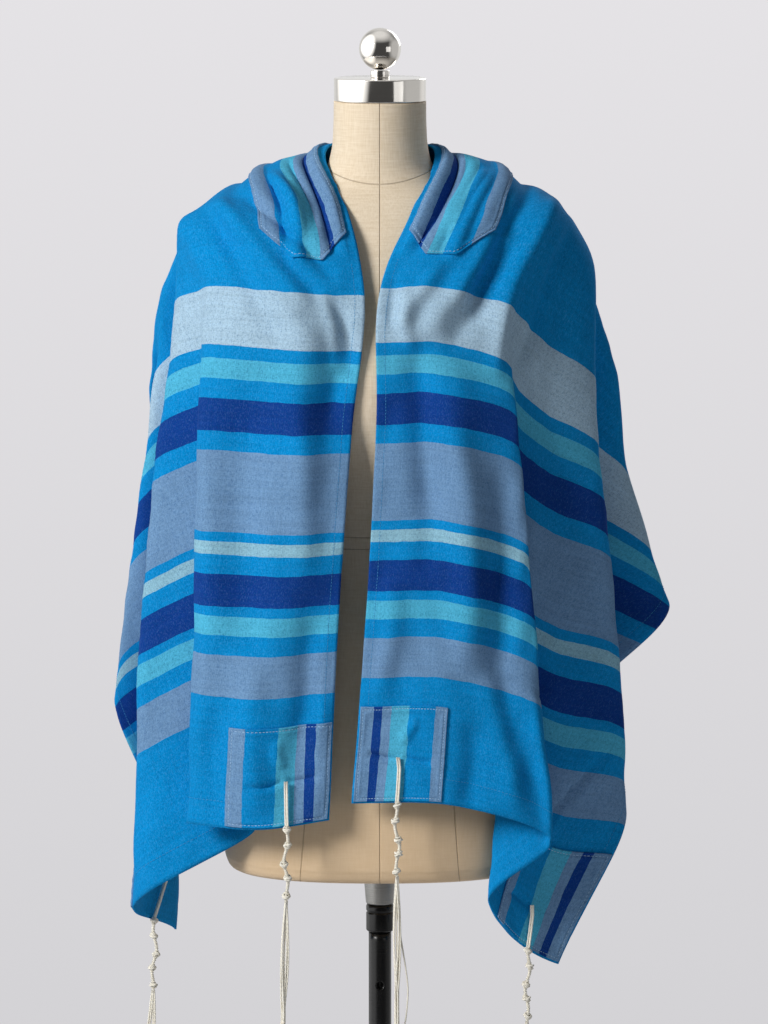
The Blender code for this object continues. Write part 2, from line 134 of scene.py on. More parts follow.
RIGHT_LINES = [
    (0.000, 0.000, 0.000, 0.000, 0.001, -0.116, 1.324, -0.028, -0.135, 0.815, 0.004),  # front edge
    (0.070, 0.070, 0.110, 0.000, 0.064, -0.119, 1.324, 0.072, -0.144, 0.814, 0.002),  # panel middle
    (0.130, 0.135, 0.215, 0.000, 0.125, -0.100, 1.304, 0.167, -0.126, 0.779, 0.001),  # panel fold
    (0.142, 0.147, 0.353, 0.000, 0.136, -0.094, 1.296, 0.109, -0.102, 0.709, 0.000),  # under-fold
    (0.178, 0.205, 0.480, 0.002, 0.164, -0.072, 1.266, 0.178, -0.050, 0.636, 0.000),  # corner line
    (0.214, 0.262, 0.559, 0.000, 0.212, -0.040, 1.229, 0.258, -0.010, 0.620, 0.001),  # side fold
    (0.240, 0.320, 0.640, 0.006, 0.188, 0.000, 1.186, 0.215, 0.050, 0.550, 0.000),  # side under-fold
    (0.285, 0.400, 0.860, 0.001, 0.250, 0.032, 1.118, 0.460, 0.056, 0.430, 0.000),  # outer turn
    (0.375, 0.442, 0.905, 0.000, 0.235, 0.064, 1.078, 0.380, 0.200, 0.410, 0.000),  # back hollow
    (0.480, 0.480, 0.950, 0.000, 0.208, 0.090, 1.040, 0.300, 0.300, 0.400, 0.000),  # back edge
]

# Sections of the form that the cloth rests on, from the bottom up.
TORSO_SECTIONS = np.array([
    # z, half_width, half_depth, middle_y, squareness
    (0.728, 0.1460, 0.1020, 0.000, 2.4),
    (0.731, 0.1510, 0.1070, 0.000, 2.4),
    (0.738, 0.1545, 0.1105, 0.000, 2.4),
    (0.750, 0.1565, 0.1125, 0.000, 2.4),
    (0.800, 0.1580, 0.1135, 0.000, 2.35),
    (0.880, 0.1500, 0.1090, 0.001, 2.3),
    (0.960, 0.1300, 0.0970, 0.000, 2.2),
    (1.045, 0.1130, 0.0860, 0.000, 2.1),
    (1.125, 0.1220, 0.0940, -0.004, 2.2),
    (1.205, 0.1370, 0.1090, -0.008, 2.2),
    (1.260, 0.1430, 0.1090, -0.007, 2.2),
    (1.320, 0.1480, 0.0980, -0.005, 2.3),
    (1.360, 0.1490, 0.0850, -0.002, 2.3),
    (1.386, 0.1340, 0.0730, 0.000, 2.2),
    (1.403, 0.1060, 0.0640, 0.000, 2.1),
    (1.416, 0.0730, 0.0530, 0.000, 2.0),
    (1.430, 0.0550, 0.0480, 0.000, 2.0),
    (1.448, 0.0482, 0.0464, 0.000, 2.0),
    (1.472, 0.0462, 0.0460, 0.000, 2.0),
    (1.4967, 0.0458, 0.0458, 0.000, 2.0),
])

# %% Curves through the tables
STATIONS = np.array([-S_NECK_SIDE, 0.0, S_NECK_SIDE, S_SHOULDER])
SHARES = np.array([0.0, 0.25, 0.5, 0.75, 1.0])


def smooth_rows(knots, values, at):
    """One cubic curve for each row, through values [rows, knots, 3], read at at [rows, n].

    The slope at a knot is the weighted mean of the slopes on its two sides."""
    step = np.diff(knots, axis=1)[..., None]
    rise = np.diff(values, axis=1) / step
    inner = (rise[:, :-1] * step[:, 1:] + rise[:, 1:] * step[:, :-1]) / (step[:, :-1] + step[:, 1:])
    slope = np.concatenate([rise[:, :1], inner, rise[:, -1:]], axis=1)
    cell = (knots[:, None, :] <= at[:, :, None]).sum(axis=2) - 1
    cell = np.clip(cell, 0, knots.shape[1] - 2)
    row = np.arange(len(knots))[:, None]
    width = step[row, cell]
    t = (at - knots[row, cell])[..., None] / width
    return (
        values[row, cell] * (1 + 2 * t) * (1 - t) ** 2
        + slope[row, cell] * width * t * (1 - t) ** 2
        + values[row, cell + 1] * t * t * (3 - 2 * t)
        + slope[row, cell + 1] * width * t * t * (t - 1)
    )


def yoke_place(w, station, side):
    """Place on the yoke at distance w: station 0 is the back, 1 the neck side, 2 the shoulder."""
    if station == 0:
        columns = np.column_stack([np.zeros(len(YOKE)), YOKE[:, 1], YOKE[:, 2]])
    else:
        columns = YOKE[:, 3 * station:3 * station + 3] * (side, 1, 1)
    return smooth_rows(YOKE[None, :, 0], columns[None], np.array([[w]]))[0, 0]


def side_lines(lines, side):
    """The drape lines of one side as stations [9], widths [lines, 9] and places [lines, 9, 3]."""
    stations = np.concatenate([STATIONS, S_CHEST + (CLOTH_HALF_LENGTH - S_CHEST) * SHARES])
    widths, places = [], []
    for yoke_w, chest_w, hem_w, tuck, *ends, bow in lines:
        chest = np.array(ends[:3]) * (side, 1, 1)
        hem = np.array(ends[3:]) * (side, 1, 1)
        neck_side = yoke_place(yoke_w, 1, side)
        shoulder = yoke_place(yoke_w, 2, side) - (side * tuck, 0, 0)
        head = [neck_side * (-1, 1, 1), yoke_place(yoke_w, 0, side), neck_side, shoulder]
        pushed = np.outer(side * bow * 4 * SHARES * (1 - SHARES), (1, 0, 0))
        way = chest + (hem - chest) * SHARES[:, None] + pushed
        places.append(np.concatenate([head, way]))
        widths.append(np.concatenate([np.full(4, yoke_w), chest_w + (hem_w - chest_w) * SHARES]))
    return stations, np.array(widths), np.array(places)


SIDES = {-1.0: side_lines(LEFT_LINES, -1.0), 1.0: side_lines(RIGHT_LINES, 1.0)}


def drape(s, w):
    """Places of the cloth's middle surface for s [rows] and w [rows, n], as [rows, n, 3].

    Each row first reads every drape line at its own s, then a cubic across the lines."""
    s = np.asarray(s, float)
    w = np.broadcast_to(w, (len(s), np.shape(w)[-1]))
    found = np.empty(w.shape + (3,))
    for side, (stations, widths, places) in SIDES.items():
        here = s >= 0 if side > 0 else s < 0
        if not here.any():
            continue
        at = np.abs(s[here])
        knots = np.array([np.interp(at, stations, line) for line in widths]).T
        along = np.broadcast_to(stations, (len(widths), len(stations)))
        on_lines = smooth_rows(along, places, np.broadcast_to(at, (len(widths), len(at))))
        found[here] = smooth_rows(knots, on_lines.transpose(1, 0, 2), w[here])
    return found


print("nape", drape([0.0], [[0.0]]).round(3), "left hem", drape([-0.785], [[0.0]]).round(3))

# %% [markdown]
# ## Small creases
#
# The drape lines give the large folds. Over them a worn cotton cloth has soft, uneven
# troughs: pulls that run from the neck over the shoulder, slack lines down each front,
# old packing creases, and puckers where a cord pulls at its eyelet. Each is a row of
# the table: a line in (s, w) with a half width and a height, and its height fades to
# nothing at both ends. Similar ones are on the back and under the folds.

# %% Table of creases
CREASES = [
    # s_from, w_from, s_to, w_to, half_width, height
    # pulls over the left shoulder, below and beside the band
    (-0.150, 0.112, -0.262, 0.030, 0.0080, -0.0035),
    (-0.165, 0.135, -0.290, 0.060, 0.0100, 0.0045),
    (-0.175, 0.150, -0.330, 0.085, 0.0090, -0.0040),
    (-0.120, 0.070, -0.215, 0.055, 0.0060, 0.0030),
    (-0.100, 0.045, -0.205, 0.038, 0.0050, -0.0032),
    (-0.140, 0.180, -0.300, 0.150, 0.0120, 0.0026),
    (-0.110, 0.130, -0.200, 0.205, 0.0140, -0.0014),
    (-0.050, 0.108, -0.190, 0.118, 0.0090, -0.0022),
    (-0.040, 0.088, -0.215, 0.084, 0.0080, 0.0022),
    (-0.075, 0.030, -0.232, 0.026, 0.0045, -0.0038),
    (-0.060, 0.014, -0.238, 0.014, 0.0060, 0.0024),
    (-0.120, 0.060, -0.250, 0.064, 0.0055, 0.0026),
    (-0.110, 0.073, -0.245, 0.076, 0.0050, -0.0024),
    # slack lines down the left front
    (-0.300, 0.055, -0.560, 0.045, 0.0160, 0.0045),
    (-0.330, 0.100, -0.620, 0.094, 0.0170, -0.0050),
    (-0.420, 0.128, -0.700, 0.118, 0.0140, 0.0045),
    (-0.560, 0.030, -0.770, 0.034, 0.0140, -0.0032),
    (-0.620, 0.078, -0.780, 0.082, 0.0130, 0.0038),
    (-0.300, 0.018, -0.430, 0.028, 0.0120, -0.0030),
    (-0.215, 0.118, -0.300, 0.010, 0.0110, -0.0032),
    (-0.232, 0.150, -0.330, 0.030, 0.0120, 0.0030),
    (-0.270, 0.030, -0.360, 0.006, 0.0070, -0.0026),
    (-0.265, 0.044, -0.350, 0.022, 0.0060, 0.0022),
    (-0.600, 0.012, -0.780, 0.016, 0.0090, 0.0022),
    (-0.660, 0.110, -0.786, 0.104, 0.0100, -0.0030),
    # the left side layer
    (-0.360, 0.235, -0.700, 0.330, 0.0140, 0.0030),
    (-0.420, 0.290, -0.740, 0.405, 0.0150, -0.0028),
    (-0.340, 0.340, -0.600, 0.430, 0.0180, 0.0022),
    # pulls over the right shoulder
    (0.120, 0.060, 0.215, 0.052, 0.0060, 0.0035),
    (0.105, 0.040, 0.210, 0.034, 0.0050, -0.0034),
    (0.150, 0.120, 0.300, 0.100, 0.0090, -0.0045),
    (0.165, 0.148, 0.350, 0.118, 0.0100, 0.0055),
    (0.240, 0.060, 0.330, 0.020, 0.0090, 0.0030),
    (0.180, 0.180, 0.330, 0.170, 0.0110, -0.0026),
    (0.110, 0.140, 0.205, 0.215, 0.0140, -0.0014),
    (0.050, 0.108, 0.190, 0.116, 0.0090, -0.0022),
    (0.040, 0.088, 0.215, 0.082, 0.0080, 0.0024),
    (0.075, 0.030, 0.236, 0.027, 0.0045, -0.0042),
    (0.060, 0.014, 0.240, 0.015, 0.0060, 0.0026),
    (0.115, 0.072, 0.246, 0.066, 0.0055, 0.0024),
    (0.110, 0.056, 0.240, 0.052, 0.0050, -0.0024),
    # slack lines down the right front
    (0.320, 0.050, 0.560, 0.062, 0.0150, -0.0045),
    (0.350, 0.088, 0.660, 0.112, 0.0160, 0.0055),
    (0.420, 0.122, 0.740, 0.160, 0.0130, -0.0050),
    (0.560, 0.024, 0.700, 0.030, 0.0140, 0.0035),
    (0.640, 0.140, 0.782, 0.165, 0.0120, 0.0050),
    (0.205, 0.112, 0.330, 0.052, 0.0110, 0.0036),
    (0.200, 0.132, 0.340, 0.078, 0.0100, -0.0036),
    (0.270, 0.024, 0.340, 0.044, 0.0080, 0.0026),
    (0.265, 0.010, 0.330, 0.026, 0.0070, -0.0022),
    (0.700, 0.120, 0.787, 0.130, 0.0110, -0.0034),
    (0.640, 0.182, 0.787, 0.212, 0.0120, 0.0040),
    # the right side layer, with one hard packing crease
    (0.420, 0.250, 0.700, 0.360, 0.0140, 0.0032),
    (0.480, 0.300, 0.760, 0.440, 0.0150, -0.0034),
    (0.590, 0.430, 0.712, 0.400, 0.0028, -0.0026),
    (0.380, 0.330, 0.620, 0.470, 0.0180, 0.0020),
    # the back hangs in soft uneven folds from the shoulder blades
    (-0.060, 0.150, -0.040, 0.520, 0.0240, 0.0060),
    (0.020, 0.200, 0.010, 0.520, 0.0200, -0.0050),
    (0.080, 0.170, 0.075, 0.520, 0.0220, 0.0060),
    (0.150, 0.210, 0.160, 0.520, 0.0200, -0.0016),
    (-0.125, 0.190, -0.135, 0.520, 0.0210, -0.0016),
    (-0.190, 0.230, -0.205, 0.520, 0.0220, 0.0012),
    (0.215, 0.250, 0.230, 0.520, 0.0220, 0.0012),
    (0.000, 0.030, 0.000, 0.120, 0.0180, 0.0020),
    # old packing creases that cross each front
    (-0.300, 0.020, -0.304, 0.140, 0.0030, -0.0010),
    (-0.478, 0.010, -0.474, 0.150, 0.0035, -0.0012),
    (0.476, 0.010, 0.481, 0.140, 0.0035, -0.0012),
    (0.650, 0.100, 0.646, 0.230, 0.0035, -0.0012),
    # puckers at the eyelets
    (-0.742, 0.047, -0.744, 0.082, 0.0035, -0.0024),
    (-0.740, 0.010, -0.741, 0.045, 0.0035, -0.0018),
    (-0.728, 0.050, -0.700, 0.058, 0.0050, 0.0018),
    (0.736, 0.012, 0.741, 0.050, 0.0035, -0.0026),
    (0.741, 0.052, 0.744, 0.086, 0.0040, -0.0020),
    (0.728, 0.052, 0.698, 0.062, 0.0050, 0.0018),
    (0.746, 0.424, 0.752, 0.386, 0.0040, -0.0020),
    (-0.744, 0.432, -0.750, 0.392, 0.0040, -0.0020),
]
WAVE_HEIGHT = 0.0014  # the low swell over the whole cloth
CREASE_STRENGTH = 1.9  # one factor over every height in the table
REST_GAP = 0.0022  # least distance of the cloth's middle from the form's skin
print(len(CREASES), "creases")


def crease_height(s, w):
    """Sum over the table: height times a bell across the line times a soft fade along it.

    A very low uneven swell, made of crossed sine waves, keeps the rest from being flat."""
    height = WAVE_HEIGHT * np.sin(s * 31 + 2.3 * np.sin(w * 17)) * np.sin(w * 43 + 1.9 * np.sin(s * 13))
    height = height + 0.5 * WAVE_HEIGHT * np.sin(s * 83 + 3 * np.sin(w * 39)) * np.sin(w * 97 + 1.0)
    for s_from, w_from, s_to, w_to, half_width, peak in CREASES:
        way = np.array([s_to - s_from, w_to - w_from])
        length = np.hypot(*way)
        way = way / length
        along = ((s - s_from) * way[0] + (w - w_from) * way[1]) / length
        wander = 0.35 * half_width * np.sin(along * 5.1 + s_from * 40)
        off = (w - w_from) * way[0] - (s - s_from) * way[1] + wander
        fade = np.clip(4 * along * (1 - along), 0, 1) ** 0.7
        height = height + CREASE_STRENGTH * peak * fade * np.exp(-((off / half_width) ** 2))
    return height


def away(place, s, w, step=0.0015):
    """Unit normals, away from the form, of the surface place(s, w), from nearby points."""
    along = place(s + step, w) - place(s - step, w)
    across = place(s, w + step) - place(s, w - step)
    normal = np.cross(along, across)
    return normal / np.linalg.norm(normal, axis=-1, keepdims=True)


def clear_of_form(points):
    """Moves any point that is nearer than REST_GAP to the form's skin straight out from its axis.

    At its own height the skin is a squared ellipse, so a point's share of the way out to it
    is (|x / half width| ** q + |y / half depth| ** q) ** (1 / q)."""
    height = points[..., 2]
    wide, deep, middle, square = (
        np.interp(height, TORSO_SECTIONS[:, 0], TORSO_SECTIONS[:, k]) for k in range(1, 5)
    )
    x, y = points[..., 0], points[..., 1] - middle
    share = ((np.abs(x) / wide) ** square + (np.abs(y) / deep) ** square) ** (1 / square)
    beside = (height > TORSO_SECTIONS[0, 0]) & (height < TORSO_SECTIONS[-1, 0])
    least = 1 + REST_GAP / deep
    push = np.where(beside, np.maximum(1.0, least / np.maximum(share, 0.5)), 1.0)
    return np.stack([x * push, middle + y * push, height], axis=-1)


def cloth(s, w):
    """The shawl's middle surface: the drape moved along its normal by the crease height."""
    creased = drape(s, w) + away(drape, s, w) * crease_height(np.asarray(s)[:, None], w)[..., None]
    return clear_of_form(creased)


def on_cloth(s, w, lift):
    """Places that lie lift metres out from the shawl's middle surface."""
    return cloth(s, w) + away(cloth, s, w) * np.asarray(lift)[..., None]


# %% [markdown]
# ## Meshes from grids
#
# Every new piece is a grid of points worked out as whole arrays. A cloth piece is two
# such grids, one for each face, with their borders joined, so it has a real thickness
# that can grow at a turned hem. Its UV map holds the flat cloth's own coordinates in
# metres, so woven stripes follow the threads however the cloth hangs.

# %% Mesh helpers


def quads(rows, columns, wrap_rows=False, wrap_columns=False):
    """Corner numbers of every cell of a grid of points, facing along rows x columns."""
    i = np.arange(rows if wrap_rows else rows - 1)[:, None]
    j = np.arange(columns if wrap_columns else columns - 1)[None, :]
    i2, j2 = (i + 1) % rows, (j + 1) % columns
    corners = [i * columns + j, i2 * columns + j, i2 * columns + j2, i * columns + j2]
    return np.stack(np.broadcast_arrays(*corners), axis=-1).reshape(-1, 4)


def add_piece(name, points, faces, uv, material):
    """A smooth-shaded mesh object at the origin, riding on root, with the UV of each point."""
    mesh = bpy.data.meshes.new(name)
    mesh.vertices.add(len(points))
    mesh.vertices.foreach_set("co", np.asarray(points, np.float32).ravel())
    sizes = faces.shape[1]
    mesh.loops.add(faces.size)
    mesh.loops.foreach_set("vertex_index", faces.ravel().astype(np.int32))
    mesh.polygons.add(len(faces))
    mesh.polygons.foreach_set("loop_start", np.arange(0, faces.size, sizes, dtype=np.int32))
    mesh.update(calc_edges=True)
    mesh.validate()
    layer = mesh.uv_layers.new(name="cloth")
    layer.data.foreach_set("uv", np.asarray(uv, np.float32)[faces.ravel()].ravel())
    mesh.materials.append(material)
    mesh.shade_smooth()
    piece = bpy.data.objects.new(name, mesh)
    bpy.context.scene.collection.objects.link(piece)
    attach(piece, "root")
    print(name, len(points), "points", len(faces), "faces")
    return piece


def shell(outer, inner, uv):
    """Points, faces and UV of a closed wall between two grids [rows, columns, 3]."""
    rows, columns = outer.shape[:2]
    points = np.concatenate([outer.reshape(-1, 3), inner.reshape(-1, 3)])
    face = quads(rows, columns)
    number = np.arange(rows * columns).reshape(rows, columns)
    border = np.concatenate([number[0, :-1], number[:-1, -1], number[-1, :0:-1], number[:0:-1, 0]])
    ahead = np.roll(border, -1)
    size = rows * columns
    rim = np.column_stack([border, ahead, ahead + size, border + size])
    faces = np.concatenate([face, face[:, ::-1] + size, rim])
    return points, faces, np.concatenate([uv.reshape(-1, 2)] * 2)


def line_run(*runs):
    """Rising grid lines: each run is (from, to, step)."""
    parts = [np.linspace(a, b, max(1, round((b - a) / step)), endpoint=False) for a, b, step in runs]
    return np.concatenate(parts + [[runs[-1][1]]])


# %% [markdown]
# ## Woven colour
#
# The shawl is a plain weave of uneven spun yarn. Its cross stripes are bands of coloured
# weft, so each is the same distance from the middle of the shawl on both sides. Up close
# no thread is one flat colour: the blue warp shows through the pale stripes, uneven yarn
# leaves light flecks, and slubs make streaks along each yarn. One node group makes the
# flecks, the streaks and the height of the weave, and each cloth mixes them with its own
# colours.

# %% Node helpers


def linear(code):
    """A display colour such as 0A84C8 as linear values, by the sRGB curve."""
    value = np.array([int(code[k:k + 2], 16) for k in (0, 2, 4)]) / 255
    low, high = value / 12.92, ((value + 0.055) / 1.055) ** 2.4
    return tuple(float(x) for x in np.where(value <= 0.04045, low, high)) + (1.0,)


def node(tree, kind, inputs=None, **settings):
    """A shader node with its settings, whose sockets take a value or are linked."""
    made = tree.nodes.new(kind)
    for key, value in settings.items():
        setattr(made, key, value)
    for key, value in (inputs or {}).items():
        if isinstance(value, bpy.types.NodeSocket):
            tree.links.new(value, made.inputs[key])
        else:
            made.inputs[key].default_value = value
    return made


def sums(tree, operation, *values, clamp=False):
    """The output of one Math node."""
    made = node(tree, "ShaderNodeMath", dict(enumerate(values)), operation=operation, use_clamp=clamp)
    return made.outputs[0]


def mixed(tree, share, one, two, blend="MIX"):
    """The colour output of one Mix node."""
    made = node(tree, "ShaderNodeMix", data_type="RGBA", blend_type=blend)
    for key, value in ((0, share), (6, one), (7, two)):
        if isinstance(value, bpy.types.NodeSocket):
            tree.links.new(value, made.inputs[key])
        else:
            made.inputs[key].default_value = value
    return made.outputs[2]


def ranged(tree, value, low, high, to_low=0.0, to_high=1.0):
    """The output of one Map Range node."""
    numbers = {"Value": value, "From Min": low, "From Max": high, "To Min": to_low, "To Max": to_high}
    return node(tree, "ShaderNodeMapRange", numbers).outputs[0]


def new_group(name, inputs, outputs):
    """An empty shader node group with named float or vector sockets."""
    tree = bpy.data.node_groups.new(name, "ShaderNodeTree")
    for label, kind in inputs.items():
        tree.interface.new_socket(label, in_out="INPUT", socket_type=kind)
    for label, kind in outputs.items():
        tree.interface.new_socket(label, in_out="OUTPUT", socket_type=kind)
    return tree, tree.nodes.new("NodeGroupInput"), tree.nodes.new("NodeGroupOutput")


def new_material(name, **values):
    """A material, its node tree and its Principled BSDF with constants on its sockets."""
    material = bpy.data.materials.new(name)
    material.use_nodes = True
    shader = material.node_tree.nodes["Principled BSDF"]
    for key, value in values.items():
        shader.inputs[key.replace("_", " ")].default_value = value
    return material, material.node_tree, shader


FLOAT, VECTOR = "NodeSocketFloat", "NodeSocketVector"


def streaks(tree, place, across, along, seed):
    """Noise stretched along one yarn direction: scale across (x) and along (y) the cloth."""
    stretch = {"Vector": place, "Scale": (across, along, 1), "Location": (seed, seed, seed)}
    spot = node(tree, "ShaderNodeMapping", stretch).outputs[0]
    return node(tree, "ShaderNodeTexNoise", {"Vector": spot, "Scale": 1.0, "Detail": 2.0}).outputs[0]


# %% Weave group


def weave_group():
    """Inputs: the cloth's place and its thread pitch, in metres.

    Flecks are short bright dashes of uneven yarn, and Warp marks where the dark blue warp
    comes over the weft, which gives the pale stripes their heathered look. Streaks are
    lighter and darker threads, Patches are wide soft clouds of wear, and Height is a
    checker of overs and unders plus the unevenness of the yarn."""
    tree, given, made = new_group(
        "plain weave",
        {"Place": VECTOR, "Thread pitch": FLOAT},
        {"Flecks": FLOAT, "Warp": FLOAT, "Streaks": FLOAT, "Patches": FLOAT, "Height": FLOAT},
    )
    place = given.outputs["Place"]
    parts = node(tree, "ShaderNodeSeparateXYZ", {"Vector": place})
    turn_w = sums(tree, "DIVIDE", parts.outputs[0], given.outputs["Thread pitch"])
    turn_s = sums(tree, "DIVIDE", parts.outputs[1], given.outputs["Thread pitch"])
    wave_w = sums(tree, "SINE", sums(tree, "MULTIPLY", turn_w, np.pi))
    wave_s = sums(tree, "SINE", sums(tree, "MULTIPLY", turn_s, np.pi))
    over = sums(tree, "MULTIPLY", wave_w, wave_s)
    weft = streaks(tree, place, 380, 2100, 3.1)
    warp = streaks(tree, place, 2100, 380, 7.7)
    slub = streaks(tree, place, 22, 420, 1.3)
    slub_up = streaks(tree, place, 420, 26, 5.9)
    both = sums(tree, "ADD", sums(tree, "MULTIPLY", weft, 0.5), sums(tree, "MULTIPLY", warp, 0.5))
    brightest = sums(tree, "MAXIMUM", warp, sums(tree, "MULTIPLY", weft, 0.94))
    darkest = sums(tree, "MINIMUM", warp, weft)
    tree.links.new(ranged(tree, brightest, 0.55, 0.72), made.inputs["Flecks"])
    tree.links.new(ranged(tree, darkest, 0.44, 0.30), made.inputs["Warp"])
    wide = sums(tree, "ADD", sums(tree, "MULTIPLY", slub, 0.6), sums(tree, "MULTIPLY", slub_up, 0.4))
    fine = sums(tree, "ADD", sums(tree, "MULTIPLY", wide, 0.36), sums(tree, "MULTIPLY", both, 0.64))
    tree.links.new(fine, made.inputs["Streaks"])
    cloud = node(tree, "ShaderNodeTexNoise", {"Vector": place, "Scale": 9.0, "Detail": 3.0})
    tree.links.new(cloud.outputs[0], made.inputs["Patches"])
    height = sums(tree, "ADD", sums(tree, "MULTIPLY", over, 0.28), sums(tree, "MULTIPLY", both, 0.6))
    height = sums(tree, "ADD", height, sums(tree, "MULTIPLY", wide, 0.7))
    tree.links.new(height, made.inputs["Height"])
    return tree


WEAVE = weave_group()
THREAD_PITCH = 0.00062
WARP_YARN = linear("04589E")
WARP_SHOWS = 0.40
PALE_YARN = linear("8FC2E4")
FLECK_SHARE = 0.6
STREAK_SHARE = 0.24
WEAVE_DEPTH = 0.00016
print("weave group", len(WEAVE.nodes), "nodes")


def woven(tree, shader, place, base):
    """Colours a cloth: base darkened along streaks, with pale flecks, and the weave as bump."""
    weave = node(tree, "ShaderNodeGroup", node_tree=WEAVE)
    tree.links.new(place, weave.inputs["Place"])
    weave.inputs["Thread pitch"].default_value = THREAD_PITCH
    darker, lighter = 1 - STREAK_SHARE, 1 + 0.6 * STREAK_SHARE
    shade = ranged(tree, weave.outputs["Streaks"], 0.38, 0.62, darker, lighter)
    worn = ranged(tree, weave.outputs["Patches"], 0.3, 0.7, 0.95, 1.04)
    tone = sums(tree, "MULTIPLY", shade, worn)
    grey = node(tree, "ShaderNodeCombineColor", {0: tone, 1: tone, 2: tone}).outputs[0]
    coloured = mixed(tree, 1.0, base, grey, "MULTIPLY")
    flecks = sums(tree, "MULTIPLY", weave.outputs["Flecks"], FLECK_SHARE)
    flecked = mixed(tree, flecks, coloured, mixed(tree, 0.20, base, PALE_YARN))
    shown_warp = sums(tree, "MULTIPLY", weave.outputs["Warp"], WARP_SHOWS)
    tree.links.new(mixed(tree, shown_warp, flecked, WARP_YARN), shader.inputs["Base Color"])
    relief = {"Height": weave.outputs["Height"], "Strength": 1.0, "Distance": WEAVE_DEPTH}
    tree.links.new(node(tree, "ShaderNodeBump", relief).outputs[0], shader.inputs["Normal"])


# %% Stripe colours
AZURE = linear("008CD1")
HEATHER = linear("ABC9DE")
TURQUOISE = linear("50B7DB")
NAVY = linear("0C3A8C")
PERIWINKLE = linear("7197BF")
AQUA = linear("92C2D6")

# Each stripe of the shawl: where it starts, as the distance from the middle of the
# shawl, and its colour. The same stripes are at both ends.
SHAWL_STRIPES = [
    # start, colour
    (0.0000, AZURE), (0.2700, HEATHER), (0.3275, AZURE), (0.3375, TURQUOISE), (0.3570, AZURE),
    (0.3765, NAVY), (0.4055, AZURE), (0.4240, PERIWINKLE), (0.5020, AZURE), (0.5120, AQUA),
    (0.5220, AZURE), (0.5420, NAVY), (0.5710, AZURE), (0.5800, TURQUOISE), (0.5990, AZURE),
    (0.6180, PERIWINKLE), (0.6580, AZURE),
]

# The band and the patches are cut from the same striped cloth turned sideways. Their
# stripes run along the shawl: distance from the piece's inner edge, and colour.
PATCH_STRIPES = [
    # start, colour
    (0.0000, PERIWINKLE), (0.0145, NAVY), (0.0235, PERIWINKLE), (0.0335, TURQUOISE),
    (0.0530, AZURE), (0.0815, PERIWINKLE),
]
BAND_STRIPES = [
    # start, colour
    (0.0000, PERIWINKLE), (0.0125, NAVY), (0.0210, PERIWINKLE), (0.0295, TURQUOISE),
    (0.0465, AZURE), (0.0700, PERIWINKLE),
]


def stripes(tree, distance, table, full):
    """A ColorRamp with one hard-edged stop for each stripe, over distances from 0 to full."""
    ramp = node(tree, "ShaderNodeValToRGB", {"Fac": sums(tree, "DIVIDE", distance, full)})
    ramp.color_ramp.interpolation = "CONSTANT"
    stops = ramp.color_ramp.elements
    stops[0].position, stops[0].color = table[0][0] / full, table[0][1]
    stops[1].position, stops[1].color = table[1][0] / full, table[1][1]
    for start, colour in table[2:]:
        stops.new(start / full).color = colour
    return ramp.outputs[0]


def striped_cloth(name, table, full, along):
    """A striped woven material: along is the UV axis that the stripes are counted on.

    A low noise moves each stripe's edge by up to half a millimetre, as uneven weft does."""
    material, tree, shader = new_material(
        name, Roughness=0.88, Sheen_Weight=0.02, Sheen_Roughness=0.5, Specular_IOR_Level=0.06
    )
    place = node(tree, "ShaderNodeUVMap", uv_map="cloth").outputs[0]
    parts = node(tree, "ShaderNodeSeparateXYZ", {"Vector": place})
    wobble = streaks(tree, place, 60, 60, 9.4)
    edge = ranged(tree, wobble, 0.3, 0.7, -0.0005, 0.0005)
    distance = sums(tree, "ADD", sums(tree, "ABSOLUTE", parts.outputs[along]), edge)
    base = stripes(tree, sums(tree, "MAXIMUM", distance, 0.0), table, full)
    woven(tree, shader, place, base)
    return material


SEWN_STRIPES_REACH = 0.12  # past the outer edge of the widest sewn piece
SHAWL_CLOTH = striped_cloth("shawl cloth", SHAWL_STRIPES, CLOTH_HALF_LENGTH, 1)
PATCH_CLOTH = striped_cloth("striped patch cloth", PATCH_STRIPES, SEWN_STRIPES_REACH, 0)
BAND_CLOTH = striped_cloth("striped band cloth", BAND_STRIPES, SEWN_STRIPES_REACH, 0)
print("materials", SHAWL_CLOTH.name, PATCH_CLOTH.name, BAND_CLOTH.name)

# %% [markdown]
# ## The shawl
#
# The cloth is about 1 mm thick. Its long edges are turned once and stitched 12 mm in,
# and its ends have a deeper hem, stitched 27 mm up. The extra layers are a small step in
# the thickness, and the stitch line sits in a shallow groove.

# %% Shawl
CLOTH_THICK = 0.0011
EDGE_TURN = 0.012
END_HEM = 0.027
HEM_EXTRA = 0.0008
HEM_STITCH_INSET = 0.002
GROOVE_HALF_WIDTH = 0.0014
GROOVE_DEPTH = 0.0005


def step_down(distance, at, softness):
    """1 well before a place and 0 well past it, with a soft step there."""
    return 1 / (1 + np.exp((distance - at) / softness))


def bell(distance, middle, half_width):
    """1 at the middle, falling off to both sides."""
    return np.exp(-(((distance - middle) / half_width) ** 2))


def hem_thickness(s, w):
    """Thickness at (s, w): one layer, more on the turned hems, less along their stitches."""
    from_edge = np.minimum(w, CLOTH_WIDTH - w)
    from_end = CLOTH_HALF_LENGTH - np.abs(s)
    turned = np.maximum(step_down(from_edge, EDGE_TURN, 0.0005), step_down(from_end, END_HEM, 0.0005))
    groove = np.maximum(
        bell(from_edge, EDGE_TURN - HEM_STITCH_INSET, GROOVE_HALF_WIDTH),
        bell(from_end, END_HEM - HEM_STITCH_INSET, GROOVE_HALF_WIDTH),
    )
    return CLOTH_THICK + HEM_EXTRA * turned - GROOVE_DEPTH * groove


